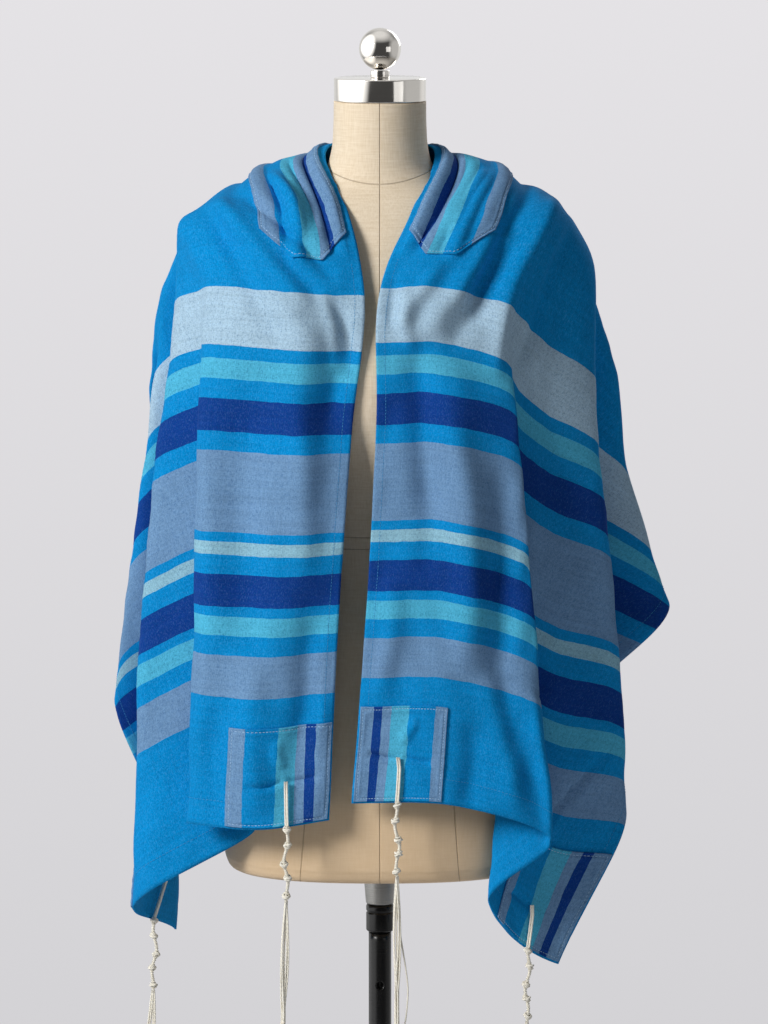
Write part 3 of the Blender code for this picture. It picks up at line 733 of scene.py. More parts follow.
def build_shawl():
    """The whole rectangle as a shell, with finer lines where a hem is turned."""
    right = line_run((0.0, 0.756, 0.0052), (0.756, 0.760, 0.0010), (0.760, CLOTH_HALF_LENGTH, 0.0050))
    s = np.concatenate([-right[:0:-1], right])
    w = line_run(
        (0.0, 0.009, 0.003), (0.009, 0.013, 0.001), (0.013, 0.467, 0.0041),
        (0.467, 0.471, 0.001), (0.471, CLOTH_WIDTH, 0.003),
    )
    ww = np.broadcast_to(w, (len(s), len(w)))
    middle = cloth(s, ww)
    normal = away(cloth, s, ww)
    half_thick = hem_thickness(s[:, None], ww)[..., None] / 2
    uv = np.stack(np.broadcast_arrays(ww, s[:, None]), axis=-1)
    points, faces, uv = shell(middle + normal * half_thick, middle - normal * half_thick, uv)
    piece = add_piece("shawl_cloth_piece", points, faces, uv, SHAWL_CLOTH)
    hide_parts("shawl")
    return piece


SHAWL = build_shawl()

# %% [markdown]
# ## The neckband and the corner patches
#
# The band is sewn over the neck part of the shawl and its ends are clipped to a point on
# both sides. The patches strengthen the corners round each eyelet. All have their raw
# edges turned under, so an edge is thick and a stitch line close to it presses the piece
# down. Between stitches the edge puffs a little.

# %% Sewn-on pieces
SEWN_THICK = 0.0009
SEWN_LIFT = 0.0016
TURNED_UNDER = 0.0065
STITCH_INSET = 0.0028
TURN_STEP = 0.0007
PRESSED_STEP = 0.0007
PUFF_HEIGHT = 0.00022
PUFF_PITCH = 0.0105
FINE_BORDER = 0.008


def sewn_height(from_edge, along):
    """Height of a sewn piece over the shawl: thicker at its turned edge, pressed at the stitches."""
    turned = TURN_STEP * step_down(from_edge, TURNED_UNDER, 0.0006)
    pressed = PRESSED_STEP * bell(from_edge, STITCH_INSET, 0.0012)
    puff = PUFF_HEIGHT * np.sin(along * 2 * np.pi / PUFF_PITCH) * np.exp(-from_edge / 0.006)
    return SEWN_LIFT + turned - pressed + puff


def sewn_piece(base, normal, lift, uv, material, node_name):
    """A shell over the shawl: its face at the lift of a sewn piece, its back flat on the cloth."""
    outer = base + normal * (lift + SEWN_THICK / 2)[..., None]
    inner = base + normal * (SEWN_LIFT - SEWN_THICK)
    piece = add_piece(f"{node_name}_piece", *shell(outer, inner, uv), material)
    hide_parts(node_name)
    return piece


def bordered(low, high, fine, coarse):
    """Grid lines from low to high, fine in a border at both ends and coarse between."""
    near, far = low + FINE_BORDER, high - FINE_BORDER
    return line_run((low, near, fine), (near, far, coarse), (far, high, fine))


def spread(function, s, w):
    """Calls a surface function, which takes rows of one s, for points of any s and w."""
    return function(s.ravel(), w.reshape(-1, 1)).reshape(s.shape + (3,))


def band_reach(w):
    """Half length of the band at w: full in the middle, cut back at 45 degrees at its edges."""
    return BAND_HALF_LENGTH - np.maximum(0, BAND_CLIP - np.minimum(w - BAND_INNER, BAND_OUTER - w))


def build_neckband():
    """The band as a grid whose rows are stretched to the clipped ends."""
    share = line_run((-1, -0.97, 0.006), (-0.97, 0.97, 0.0115), (0.97, 1, 0.006))
    w = bordered(BAND_INNER, BAND_OUTER, 0.0010, 0.0022)
    ww = np.broadcast_to(w, (len(share), len(w)))
    ss = share[:, None] * band_reach(ww)
    side = np.minimum(ww - BAND_INNER, BAND_OUTER - ww)
    end = (band_reach(ww) - np.abs(ss)) * np.where(side < BAND_CLIP, np.sqrt(0.5), 1.0)
    lift = sewn_height(np.minimum(side, end), ss + ww)
    base = spread(cloth, ss, ww)
    normal = spread(lambda s, w: away(cloth, s, w), ss, ww)
    uv = np.stack([ww - BAND_INNER, ss], axis=-1)
    return sewn_piece(base, normal, lift, uv, BAND_CLOTH, "neckband")


def build_patch(place, hand, side):
    """One square patch. Its stripes are counted from the cloth's edge that it lies along."""
    far = CLOTH_HALF_LENGTH - PATCH_INSET
    cells = bordered(0.0, PATCH_SIDE, 0.0010, 0.0022)
    s = (far - PATCH_SIDE + cells) * side
    across = PATCH_INSET + cells
    if place == "back":
        across = CLOTH_WIDTH - across[::-1]
    if side < 0:
        s = s[::-1]
    ww = np.broadcast_to(across, (len(s), len(across)))
    ss = np.broadcast_to(s[:, None], ww.shape)
    end = np.minimum(far - np.abs(ss), np.abs(ss) - far + PATCH_SIDE)
    inner_edge = (CLOTH_WIDTH - ww if place == "back" else ww) - PATCH_INSET
    from_edge = np.minimum(end, np.minimum(inner_edge, PATCH_SIDE - inner_edge))
    lift = sewn_height(from_edge, ss + ww)
    uv = np.stack([inner_edge, ss], axis=-1)
    return sewn_piece(cloth(s, ww), away(cloth, s, ww), lift, uv, PATCH_CLOTH, f"patch_{place}_{hand}")


NECKBAND = build_neckband()
PATCHES = [
    build_patch(place, hand, side)
    for place in ("front", "back")
    for hand, side in (("left", -1), ("right", 1))
]

# %% [markdown]
# ## Stitches
#
# Topstitching is a row of short threads that dip into the cloth at both ends. Each is a
# small lens shape along its line, a few faces only, and all stitches of one thread
# colour are one mesh. They run round the band and patches, along the turned edges, and
# across both hems.

# %% Stitch rows
STITCH_PITCH = 0.0031
STITCH_LENGTH = 0.0022


def stitch_row(corners, lift):
    """Middles, directions and lifts of stitches evenly spaced on a line of (s, w) corners."""
    corners = np.array(corners, float)
    way = np.diff(corners, axis=0)
    length = np.hypot(way[:, 0], way[:, 1])
    reach = np.concatenate([[0], np.cumsum(length)])
    at = np.arange(STITCH_PITCH / 2, reach[-1], STITCH_PITCH)
    spot = np.column_stack([np.interp(at, reach, corners[:, k]) for k in (0, 1)])
    leg = np.clip(np.searchsorted(reach, at) - 1, 0, len(way) - 1)
    return spot, way[leg] / length[leg][:, None], np.full(len(at), lift)


def add_stitches(name, rows, radius, material):
    """One mesh of stitches: each is a six-sided lens of STITCH_LENGTH, lying on the cloth."""
    spot, way, lift = (np.concatenate(parts) for parts in zip(*rows))
    share = np.array([-0.5, -0.3, 0.0, 0.3, 0.5])
    width = np.array([0.35, 0.9, 1.0, 0.9, 0.35]) * radius
    dip = np.array([-0.9, 0.0, 0.25, 0.0, -0.9]) * radius
    s = spot[:, None, 0] + way[:, None, 0] * share * STITCH_LENGTH
    w = spot[:, None, 1] + way[:, None, 1] * share * STITCH_LENGTH
    normal = spread(lambda a, b: away(cloth, a, b), s, w)
    line = spread(cloth, s, w) + normal * (lift[:, None] + dip)[..., None]
    forward = line[:, -1:] - line[:, :1]
    forward = forward / np.linalg.norm(forward, axis=-1, keepdims=True)
    beside = np.cross(forward, normal)
    turn = np.arange(6) * np.pi / 3
    ring = (
        line[:, :, None]
        + beside[:, :, None] * (width[:, None] * np.cos(turn))[None, ..., None]
        + normal[:, :, None] * (width[:, None] * np.sin(turn))[None, ..., None] * 0.8
    )
    near_end, far_end = [[0, 1, 2, 3], [0, 3, 4, 5]], [[27, 26, 25, 24], [29, 28, 27, 24]]
    one = np.concatenate([quads(5, 6, wrap_columns=True), near_end, far_end])
    faces = (np.arange(len(spot))[:, None, None] * 30 + one).reshape(-1, 4)
    uv = np.stack(np.broadcast_arrays(w[:, :, None], s[:, :, None] + 0 * turn), axis=-1)
    piece = add_piece(name, ring.reshape(-1, 3), faces, uv.reshape(-1, 2), material)
    return piece


def thread_material(name, colour):
    """Matt sewing thread, a little lighter and darker from stitch to stitch."""
    material, tree, shader = new_material(name, Roughness=0.6, Specular_IOR_Level=0.3)
    place = node(tree, "ShaderNodeUVMap", uv_map="cloth").outputs[0]
    tone = ranged(tree, streaks(tree, place, 300, 300, 2.0), 0.35, 0.65, 0.8, 1.15)
    grey = node(tree, "ShaderNodeCombineColor", {0: tone, 1: tone, 2: tone}).outputs[0]
    tree.links.new(mixed(tree, 1.0, colour, grey, "MULTIPLY"), shader.inputs["Base Color"])
    return material


PALE_THREAD = thread_material("pale sewing thread", linear("A9CBE6"))
BLUE_THREAD = thread_material("blue sewing thread", linear("3E93C8"))
SEWN_TOP = SEWN_LIFT + SEWN_THICK / 2 + 0.00025
HEM_TOP = CLOTH_THICK / 2 + 0.00035
PAST_PATCH = 0.003
PAST_BAND = 0.004


def square_row(s_low, s_high, w_low, w_high):
    """The closed stitch line of a rectangle in (s, w)."""
    return [(s_low, w_low), (s_high, w_low), (s_high, w_high), (s_low, w_high), (s_low, w_low)]


def sewn_rows():
    """Stitch lines of the four patches and the band, a little in from their edges."""
    rows = []
    far = CLOTH_HALF_LENGTH - PATCH_INSET - STITCH_INSET
    near = far - PATCH_SIDE + 2 * STITCH_INSET
    low, high = PATCH_INSET + STITCH_INSET, BAND_OUTER - STITCH_INSET
    for side in (-1, 1):
        for one, other in ((low, high), (CLOTH_WIDTH - high, CLOTH_WIDTH - low)):
            rows.append(stitch_row(square_row(side * near, side * far, one, other), SEWN_TOP))
    low, high = BAND_INNER + STITCH_INSET, BAND_OUTER - STITCH_INSET
    reach, clip = BAND_HALF_LENGTH - STITCH_INSET, BAND_CLIP
    outline = [
        (-reach + clip, low), (reach - clip, low), (reach, low + clip), (reach, high - clip),
        (reach - clip, high), (clip - reach, high), (-reach, high - clip), (-reach, low + clip),
        (-reach + clip, low),
    ]
    return rows + [stitch_row(outline, SEWN_TOP)]


def hem_rows():
    """Stitch lines of the turned edges and of both end hems, on the face."""
    inset = EDGE_TURN - HEM_STITCH_INSET
    outer = CLOTH_WIDTH - inset
    hem = CLOTH_HALF_LENGTH - END_HEM + HEM_STITCH_INSET
    past_patch = BAND_OUTER + PAST_PATCH
    near_patch = CLOTH_HALF_LENGTH - PATCH_INSET - PATCH_SIDE - PAST_PATCH
    lines = []
    for side in (-1, 1):
        lines.append([(side * hem, past_patch), (side * hem, CLOTH_WIDTH - past_patch)])
        lines.append([(side * (BAND_HALF_LENGTH + PAST_BAND), inset), (side * near_patch, inset)])
        lines.append([(0.0, outer), (side * near_patch, outer)])
    return [stitch_row(line, HEM_TOP) for line in lines]


SEWN_STITCHES = add_stitches(
    "patch_and_band_stitches", sewn_rows(), 0.00030, PALE_THREAD
)
HEM_STITCHES = add_stitches("hem_stitches", hem_rows(), 0.00026, BLUE_THREAD)

print("declared", 2 + len(PATCHES), "sheets")

# %% [markdown]
# ## Corner cords
#
# Each corner has four doubled strands of undyed twisted cord through its eyelet. Below
# the hem they are wound and tied in five double knots, and the eight ends hang free. A
# cord is a circle carried along its route. The wound part is a helix of cord round a
# core, whose radius swells at each knot.

# %% Tassel routes
WOUND_LENGTH = 0.075
STRAND_LENGTH = 0.215
CLOTH_WALL, SEWN_WALL, SEWN_GAP, STRING_RADIUS = 0.0016, 0.0012, 0.0007, 0.0020
TASSELS = [
    # name, side, hole_s, hole_w, hem_w, face, swing_x, swing_y
    ("tassel_front_left", -1, 0.740, 0.046, 0.042, 1, -0.006, 0.004),
    ("tassel_front_right", 1, 0.740, 0.050, 0.050, 1, 0.000, 0.004),
    ("tassel_back_left", -1, 0.744, 0.432, 0.428, -1, -0.012, 0.000),
    ("tassel_back_right", 1, 0.746, 0.424, 0.437, 1, -0.006, 0.000),
]
CLOTH_TO_STRING = CLOTH_WALL / 2 + 2 * SEWN_GAP + SEWN_WALL + STRING_RADIUS


def tassel_route(side, hole_s, hole_w, hem_w, face, swing_x, swing_y):
    """Middle line: five points down the face from the eyelet to the hem, then straight drops."""
    edge = CLOTH_HALF_LENGTH - 0.002
    share = np.linspace(0, 1, 5)
    s = side * (hole_s + (edge - hole_s) * share)
    w = (hole_w + (hem_w - hole_w) * share)[:, None]
    on_face = on_cloth(s, w, np.full((5, 1), face * CLOTH_TO_STRING))[:, 0]
    drops = np.linspace(0, WOUND_LENGTH + STRAND_LENGTH, 60)[1:]
    swing = (drops / drops[-1]) ** 1.5
    hanging = on_face[-1] + np.column_stack([swing_x * swing, swing_y * swing, -drops])
    return on_face, hanging


def follow(path, at):
    """Points of a path at the distances at along it, between its points."""
    reach = np.concatenate([[0], np.cumsum(np.linalg.norm(np.diff(path, axis=0), axis=1))])
    return np.column_stack([np.interp(at, reach, path[:, k]) for k in range(3)]), reach[-1]


def tube(path, radius, reference, sides=8):
    """A circle carried along a path. Its first side leans to reference, less the path's own part.

    Returns points, faces with closed ends, and UV of (turn round the cord, length)."""
    path = np.asarray(path, float)
    radius = np.broadcast_to(radius, len(path))[:, None, None]
    ahead = np.gradient(path, axis=0)
    ahead /= np.linalg.norm(ahead, axis=1, keepdims=True)
    first = np.broadcast_to(reference, path.shape)
    first = first - (first * ahead).sum(axis=1, keepdims=True) * ahead
    first /= np.linalg.norm(first, axis=1, keepdims=True)
    second = np.cross(ahead, first)
    turn = np.linspace(0, 2 * np.pi, sides, endpoint=False)
    ring = first[:, None] * np.cos(turn)[:, None] + second[:, None] * np.sin(turn)[:, None]
    points = (path[:, None] + ring * radius).reshape(-1, 3)
    faces = quads(len(path), sides, wrap_columns=True)[:, ::-1]
    length = np.concatenate([[0], np.cumsum(np.linalg.norm(np.diff(path, axis=0), axis=1))])
    uv = np.stack(np.broadcast_arrays(turn / (2 * np.pi), length[:, None]), axis=-1).reshape(-1, 2)
    last = (len(path) - 1) * sides
    fan = np.array([[0, k, k + 1, k + 2] for k in range(1, sides - 2, 2)])
    caps = np.concatenate([fan, fan[:, ::-1] + last])
    return points, np.concatenate([faces, caps]), uv


# %% Cord material


def cord_material():
    """Undyed cord: two plies wound round each other, as a slanted wave of bump and shade."""
    material, tree, shader = new_material(
        "twisted cord", Roughness=0.78, Sheen_Weight=0.15, Specular_IOR_Level=0.25
    )
    place = node(tree, "ShaderNodeUVMap", uv_map="cloth").outputs[0]
    parts = node(tree, "ShaderNodeSeparateXYZ", {"Vector": place})
    climb = sums(tree, "MULTIPLY", parts.outputs[1], 1 / 0.0042)
    turn = sums(tree, "ADD", sums(tree, "MULTIPLY", parts.outputs[0], 2.0), climb)
    ply = sums(tree, "ABSOLUTE", sums(tree, "SINE", sums(tree, "MULTIPLY", turn, np.pi)))
    lit = sums(tree, "POWER", ply, 0.4)
    fibre = streaks(tree, place, 6, 900, 4.4)
    dark = mixed(tree, lit, linear("DDD3BA"), linear("F8F4E8"))
    tone = mixed(tree, ranged(tree, fibre, 0.35, 0.7, 0.0, 0.35), dark, linear("FBF8EE"))
    tree.links.new(tone, shader.inputs["Base Color"])
    height = sums(tree, "ADD", lit, sums(tree, "MULTIPLY", fibre, 0.4))
    raised = node(tree, "ShaderNodeBump", {"Height": height, "Strength": 0.9, "Distance": 0.0003})
    tree.links.new(raised.outputs[0], shader.inputs["Normal"])
    return material


TWISTED_CORD = cord_material()
CORD_THICK = 0.0016
CORE_THICK = 0.0026
STRING_THICK = 0.0018
STRANDS = 8
WOUND_TURNS = 36
KNOTS = np.array([0.05, 0.26, 0.52, 0.71, 0.95])  # shares of the wound length
KNOT_HALF_SHARE = 0.034
KNOT_RADIUS = (0.0034, 0.0034, 0.0022)
WOUND_SWAY = 0.0026
PARTING = 0.0026  # how far the two halves of the bundle stand apart near the top
PARTED_SHARE = 1.9
WANDER = 0.0012
STRAY_BOW = 0.011
SIDEWAYS = (1.0, 0.0, 0.0)


def joined(parts):
    """Several (points, faces, uv) as one."""
    start = np.cumsum([0] + [len(p[0]) for p in parts[:-1]])
    faces = np.concatenate([part[1] + offset for part, offset in zip(parts, start)])
    return np.concatenate([p[0] for p in parts]), faces, np.concatenate([p[2] for p in parts])


def knot_swell(share):
    """How far the winding stands out at a share of the wound length: 1 on a knot, 0 between."""
    return bell(share[:, None], KNOTS, KNOT_HALF_SHARE).max(axis=1)


def winding(core, seed):
    """A cord wound round the core: a helix, wider, steeper and doubled at each knot."""
    share = np.linspace(0, 1, 900)
    middle, _ = follow(core, share * WOUND_LENGTH)
    swell = knot_swell(share)
    turn = 2 * np.pi * share * WOUND_TURNS + 1.3 * np.sin(share * 40 + seed)
    out = np.column_stack([np.cos(turn), np.sin(turn), np.zeros(len(turn))])
    path = middle + out * (CORE_THICK / 2 + 0.0001 + 0.0019 * swell)[:, None]
    path[:, 2] += 0.0016 * swell * np.sin(turn + seed)
    return tube(path, 0.00055 + 0.00045 * swell, out, sides=6)


def knot_beads(core, seed):
    """At each knot, a short ring of cord that leans across the winding."""
    parts = []
    for number, share in enumerate(KNOTS):
        middle, _ = follow(core, np.array([share * WOUND_LENGTH]))
        turn = np.linspace(0, 2 * np.pi, 28)
        lean = 0.5 * np.sin(seed + 2.1 * number)
        out = np.column_stack([np.cos(turn), np.sin(turn) * 0.9, np.cos(turn + number) * lean])
        path = middle + out * KNOT_RADIUS
        parts.append(tube(path, 0.0011, (0.0, 0.1, 1.0), sides=8))
    return joined(parts)


def strand_path(top, end, number, seed, bow):
    """A free strand from under the last knot: it settles beside the others, with a light wander."""
    share = np.linspace(0, 1, 46)
    angle = number * 2 * np.pi / STRANDS + seed
    ring = np.array([np.cos(angle), np.sin(angle), 0.0])
    gather = 0.0010 + 0.0012 * share
    path = top + (end - top) * share[:, None]
    path = path + ring * (gather * (0.75 + 0.5 * (number % 3 == 0)))[:, None]
    parted = np.sin(np.pi * np.clip(share * PARTED_SHARE, 0, 1)) * np.sign(number % 2 - 0.5)
    path[:, 0] += PARTING * parted + WANDER * np.sin(share * 9 + number * 1.7 + seed) * share
    path[:, 1] += WANDER * np.cos(share * 7 + number * 2.3 + seed) * share
    path[:, 0] += bow * np.sin(np.pi * share) ** 2
    return path


def build_wound(name, on_face, wound, seed, face):
    """The core cord, with the strings on the patch, the winding and the knots as one piece on it."""
    start = np.concatenate([on_face[:-1], wound])
    start[0] += (wound[0] - on_face[0]) * 0.02  # out of the eyelet's own edge
    core = add_piece(f"{name}_core", *tube(start, CORE_THICK / 2, SIDEWAYS, sides=10), TWISTED_CORD)
    strings = [
        tube(on_face + (beside, -0.0009 * face, 0), STRING_THICK / 2, SIDEWAYS)
        for beside in (-0.0011, 0.0011)
    ]
    wrap = joined([winding(wound, seed), knot_beads(wound, seed)] + strings)
    wrapping = add_piece(f"{name}_winding", *wrap, TWISTED_CORD)
    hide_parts(name)


def build_strand(name, path):
    """One free strand of cord with a bare end."""
    strand = add_piece(name, *tube(path, CORD_THICK / 2, SIDEWAYS), TWISTED_CORD)


def build_tassel(number, name, *facts):
    """Strings over the patch, the wound and knotted length, and eight free strands."""
    on_face, hanging = tassel_route(*facts)
    seed = 1.7 * number
    share = np.linspace(0, 1, 64)
    face_length = follow(on_face, np.array([0.0]))[1]
    wound, _ = follow(np.concatenate([on_face, hanging]), face_length + share * WOUND_LENGTH)
    wound[:, 0] += WOUND_SWAY * np.sin(share * 10 + seed) * np.sin(np.pi * share)
    build_wound(name, on_face, wound, seed, facts[4])
    for k in range(STRANDS):
        bow = STRAY_BOW if (name == "tassel_front_right" and k == 0) else 0.0
        build_strand(f"{name}_strand_{k}", strand_path(wound[-1], hanging[-1], k, seed, bow))


for number, row in enumerate(TASSELS):
    build_tassel(number, *row)

# %% [markdown]
# ## The dress form
#
# A tailor's form is a hollow shell padded and covered in tightly sewn cream canvas. Its
# panels meet in fine felled seams: one down the middle, one down each side of the front,
# and seams round the neck and waist. Only seams and weave break its surface, so the
# covering is one smooth loft, and the canvas material draws and sinks the seam lines.

# %% Torso
# Seam lines: heights in metres, and the side seams' distance from the middle as
# (lower z, upper z, distance there, distance there). The neckline dips at the front.
SIDE_SEAM = (0.73, 1.03, 0.079, 0.057)
NECKLINE_HEIGHT = 1.418
NECKLINE_RISE = 4.5
WAIST_SEAMS = (1.072, 1.060)
BUST_HEIGHT = 1.240
SEAM_CORE, SEAM_EDGE = 0.0002, 0.0008
TORSO_LEVELS, TORSO_SIDES = 250, 384


def build_torso(material):
    """Squared ellipses at many heights, read from the sections by a cubic."""
    level = np.linspace(0, len(TORSO_SECTIONS) - 1, TORSO_LEVELS)[None]
    index = np.arange(len(TORSO_SECTIONS))[None].astype(float)
    rows = np.concatenate(
        [smooth_rows(index, TORSO_SECTIONS[None, :, k:k + 3], level)[0] for k in (0, 2)], axis=1
    )
    z, half_width, half_depth, middle, square = (rows[:, k:k + 1] for k in (0, 1, 2, 4, 5))
    turn = np.linspace(0, 2 * np.pi, TORSO_SIDES, endpoint=False)[None]
    cos, sin = np.cos(turn), np.sin(turn)
    x = np.sign(cos) * np.abs(cos) ** (2 / square) * half_width
    y = middle + np.sign(sin) * np.abs(sin) ** (2 / square) * half_depth
    zz = np.broadcast_to(z, x.shape)
    points = np.stack([x, y, zz], axis=-1)
    top, bottom = points[-1].mean(axis=0), points[0].mean(axis=0)
    caps = [bottom + (points[0] - bottom) * k for k in (0.002, 0.5, 0.96)]
    lids = [top + (points[-1] - top) * k for k in (0.9, 0.3, 0.002)]
    points = np.concatenate([caps, points, lids])
    faces = quads(len(points), TORSO_SIDES, wrap_columns=True)[:, ::-1]
    uv = points[..., [0, 2]].reshape(-1, 2)
    piece = add_piece("form_torso_cover", points.reshape(-1, 3), faces, uv, material)
    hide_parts("form_torso")


def seam_mask(tree, place):
    """1 on a seam line and 0 beside it, from the smallest distance to the seams' curves."""
    parts = node(tree, "ShaderNodeSeparateXYZ", {"Vector": place})
    x = sums(tree, "ABSOLUTE", parts.outputs[0])
    y, z = parts.outputs[1], parts.outputs[2]
    side_lane = ranged(tree, z, *SIDE_SEAM)
    below_bust = ranged(tree, z, BUST_HEIGHT - 0.001, BUST_HEIGHT + 0.001)
    side = sums(tree, "ABSOLUTE", sums(tree, "SUBTRACT", x, side_lane))
    side = sums(tree, "ADD", side, below_bust)
    rise = sums(tree, "MULTIPLY", sums(tree, "MULTIPLY", x, x), NECKLINE_RISE)
    curve = sums(tree, "ADD", rise, NECKLINE_HEIGHT)
    neckline = sums(tree, "ABSOLUTE", sums(tree, "SUBTRACT", z, curve))
    neckline = sums(tree, "ADD", neckline, ranged(tree, y, 0.0, 0.002))
    near = sums(tree, "MINIMUM", sums(tree, "MINIMUM", x, side), neckline)
    for height in WAIST_SEAMS:
        near = sums(tree, "MINIMUM", near, sums(tree, "ABSOLUTE", sums(tree, "SUBTRACT", z, height)))
    return ranged(tree, near, SEAM_CORE, SEAM_EDGE, 1.0, 0.0)


def canvas_material():
    """Cream canvas on Object coordinates: fine weave, faint soil, and painted shade that makes it darker
    and browner below the waist.

    The seams are darker thread, sunk into the cloth."""
    material, tree, shader = new_material(
        "form canvas", Roughness=0.72, Sheen_Weight=0.1, Specular_IOR_Level=0.3
    )
    place = node(tree, "ShaderNodeTexCoord").outputs["Object"]
    fine = node(tree, "ShaderNodeTexNoise", {"Vector": place, "Scale": 900.0, "Detail": 2.0}).outputs[0]
    upright = node(tree, "ShaderNodeMapping", {"Vector": place, "Scale": (700, 700, 60)}).outputs[0]
    level = node(tree, "ShaderNodeMapping", {"Vector": place, "Scale": (60, 60, 700)}).outputs[0]
    warp = node(tree, "ShaderNodeTexNoise", {"Vector": upright, "Scale": 1.0}).outputs[0]
    weft = node(tree, "ShaderNodeTexNoise", {"Vector": level, "Scale": 1.0}).outputs[0]
    yarn = sums(tree, "ADD", sums(tree, "MULTIPLY", warp, 0.5), sums(tree, "MULTIPLY", weft, 0.5))
    cloud = node(tree, "ShaderNodeTexNoise", {"Vector": place, "Scale": 7.0, "Detail": 4.0}).outputs[0]
    base = mixed(tree, ranged(tree, yarn, 0.35, 0.65), linear("E2CFB2"), linear("F0E0C8"))
    base = mixed(tree, ranged(tree, cloud, 0.45, 0.75, 0.0, 0.3), base, linear("DCC4A0"))
    # Painted shade: below the waist the canvas is mixed towards a darker brown, for the shadow the shawl
    # casts there, warmed by bounced light.
    level_z = node(tree, "ShaderNodeSeparateXYZ", {"Vector": place}).outputs[2]
    base = mixed(tree, ranged(tree, level_z, 1.00, 0.80, 0.0, 0.60), base, linear("D9B68A"))
    seam = seam_mask(tree, place)
    base = mixed(tree, sums(tree, "MULTIPLY", seam, 0.45), base, linear("8E7250"))
    tree.links.new(base, shader.inputs["Base Color"])
    height = sums(tree, "ADD", yarn, sums(tree, "MULTIPLY", fine, 0.4))
    height = sums(tree, "SUBTRACT", height, sums(tree, "MULTIPLY", seam, 6.0))
    raised = node(tree, "ShaderNodeBump", {"Height": height, "Strength": 0.8, "Distance": 0.00012})
    tree.links.new(raised.outputs[0], shader.inputs["Normal"])
    return material


build_torso(canvas_material())

# %% [markdown]
# ## Metal parts of the form
#
# The neck cap and its ball knob are turned and chromed, the socket under the body is
# brushed steel, and the pole, its collar and the base are lacquered black. Each is a
# profile turned about the pole's axis, with real rounded edges that catch the light.

# %% Turned pieces


def rounded(profile, radius, steps=5):
    """A profile of (r, z) corners with each inner corner replaced by a short curve."""
    profile = np.array(profile, float)
    found = [profile[:1]]
    share = np.linspace(0, 1, steps)[:, None]
    for before, corner, after in zip(profile, profile[1:], profile[2:]):
        back, ahead = before - corner, after - corner
        cut = min(radius, 0.45 * np.linalg.norm(back), 0.45 * np.linalg.norm(ahead))
        one = corner + back / np.linalg.norm(back) * cut
        two = corner + ahead / np.linalg.norm(ahead) * cut
        found.append(one * (1 - share) ** 2 + corner * 2 * share * (1 - share) + two * share ** 2)
    return np.concatenate(found + [profile[-1:]])


def turned(name, profile, material, cad_node, slot_name, steps=128):
    """A profile of (r, z) from top to bottom carried round the axis, closed at its poles."""
    profile = np.array(profile, float)
    profile[[0, -1], 0] = 0.00002
    turn = np.linspace(0, 2 * np.pi, steps, endpoint=False)
    x = profile[:, :1] * np.cos(turn)
    y = profile[:, :1] * np.sin(turn)
    z = np.broadcast_to(profile[:, 1:], x.shape)
    points = np.stack([x, y, z], axis=-1).reshape(-1, 3)
    faces = quads(len(profile), steps, wrap_columns=True)
    uv = points[:, [0, 2]]
    piece = add_piece(name, points, faces, uv, material)
    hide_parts(cad_node)


def drum(cad_node):
    """The plain profile of a turned CAD node, from its box: flat ends and one radius."""
    low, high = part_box(cad_node)
    radius = (high[0] - low[0]) / 2
    return [(0, high[2]), (radius, high[2]), (radius, low[2]), (0, low[2])]


def metal_material(name, colour, roughness, metallic, grain):
    """Metal or lacquer whose roughness and colour change with a fine turned grain and faint smears."""
    material, tree, shader = new_material(name, Metallic=metallic, Specular_IOR_Level=0.3)
    place = node(tree, "ShaderNodeTexCoord").outputs["Object"]
    rings = node(tree, "ShaderNodeMapping", {"Vector": place, "Scale": (30, 30, 1600)}).outputs[0]
    grained = node(tree, "ShaderNodeTexNoise", {"Vector": rings, "Scale": 1.0, "Detail": 3.0}).outputs[0]
    smears = node(tree, "ShaderNodeTexNoise", {"Vector": place, "Scale": 45.0, "Detail": 4.0}).outputs[0]
    spread_of = sums(tree, "ADD", ranged(tree, grained, 0.3, 0.7, -grain, grain), roughness)
    rough = sums(tree, "ADD", spread_of, ranged(tree, smears, 0.45, 0.75, 0.0, 0.06), clamp=True)
    tree.links.new(rough, shader.inputs["Roughness"])
    shade = ranged(tree, grained, 0.3, 0.7, 1 - 2 * grain, 1.0)
    grey = node(tree, "ShaderNodeCombineColor", {0: shade, 1: shade, 2: shade}).outputs[0]
    tree.links.new(mixed(tree, 1.0, colour, grey, "MULTIPLY"), shader.inputs["Base Color"])
    relief = {"Height": grained, "Strength": min(1.0, 3 * grain), "Distance": 0.00005}
    tree.links.new(node(tree, "ShaderNodeBump", relief).outputs[0], shader.inputs["Normal"])
    return material


CHROME = metal_material("polished chrome", linear("DEDAD4"), 0.10, 1.0, 0.02)
STEEL = metal_material("brushed steel", linear("9A9996"), 0.36, 1.0, 0.12)
BLACK = metal_material("black lacquer", linear("0C0C0D"), 0.24, 0.0, 0.03)

CAP = rounded(drum("form_neck_cap"), 0.0016)
STEM = rounded(drum("form_finial_stem"), 0.0008)
turned("neck_cap_piece", CAP, CHROME, "form_neck_cap", "chromed_metal", 192)
turned("finial_stem_piece", STEM, CHROME, "form_finial_stem", "chromed_metal")
BALL_LOW, BALL_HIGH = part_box("form_finial_ball")
BALL_RADIUS = (BALL_HIGH[2] - BALL_LOW[2]) / 2
TILT = np.linspace(0, np.pi, 49)
BALL = np.column_stack([BALL_RADIUS * np.sin(TILT), BALL_LOW[2] + BALL_RADIUS * (1 + np.cos(TILT))])
turned("finial_ball_piece", BALL, CHROME, "form_finial_ball", "chromed_metal")

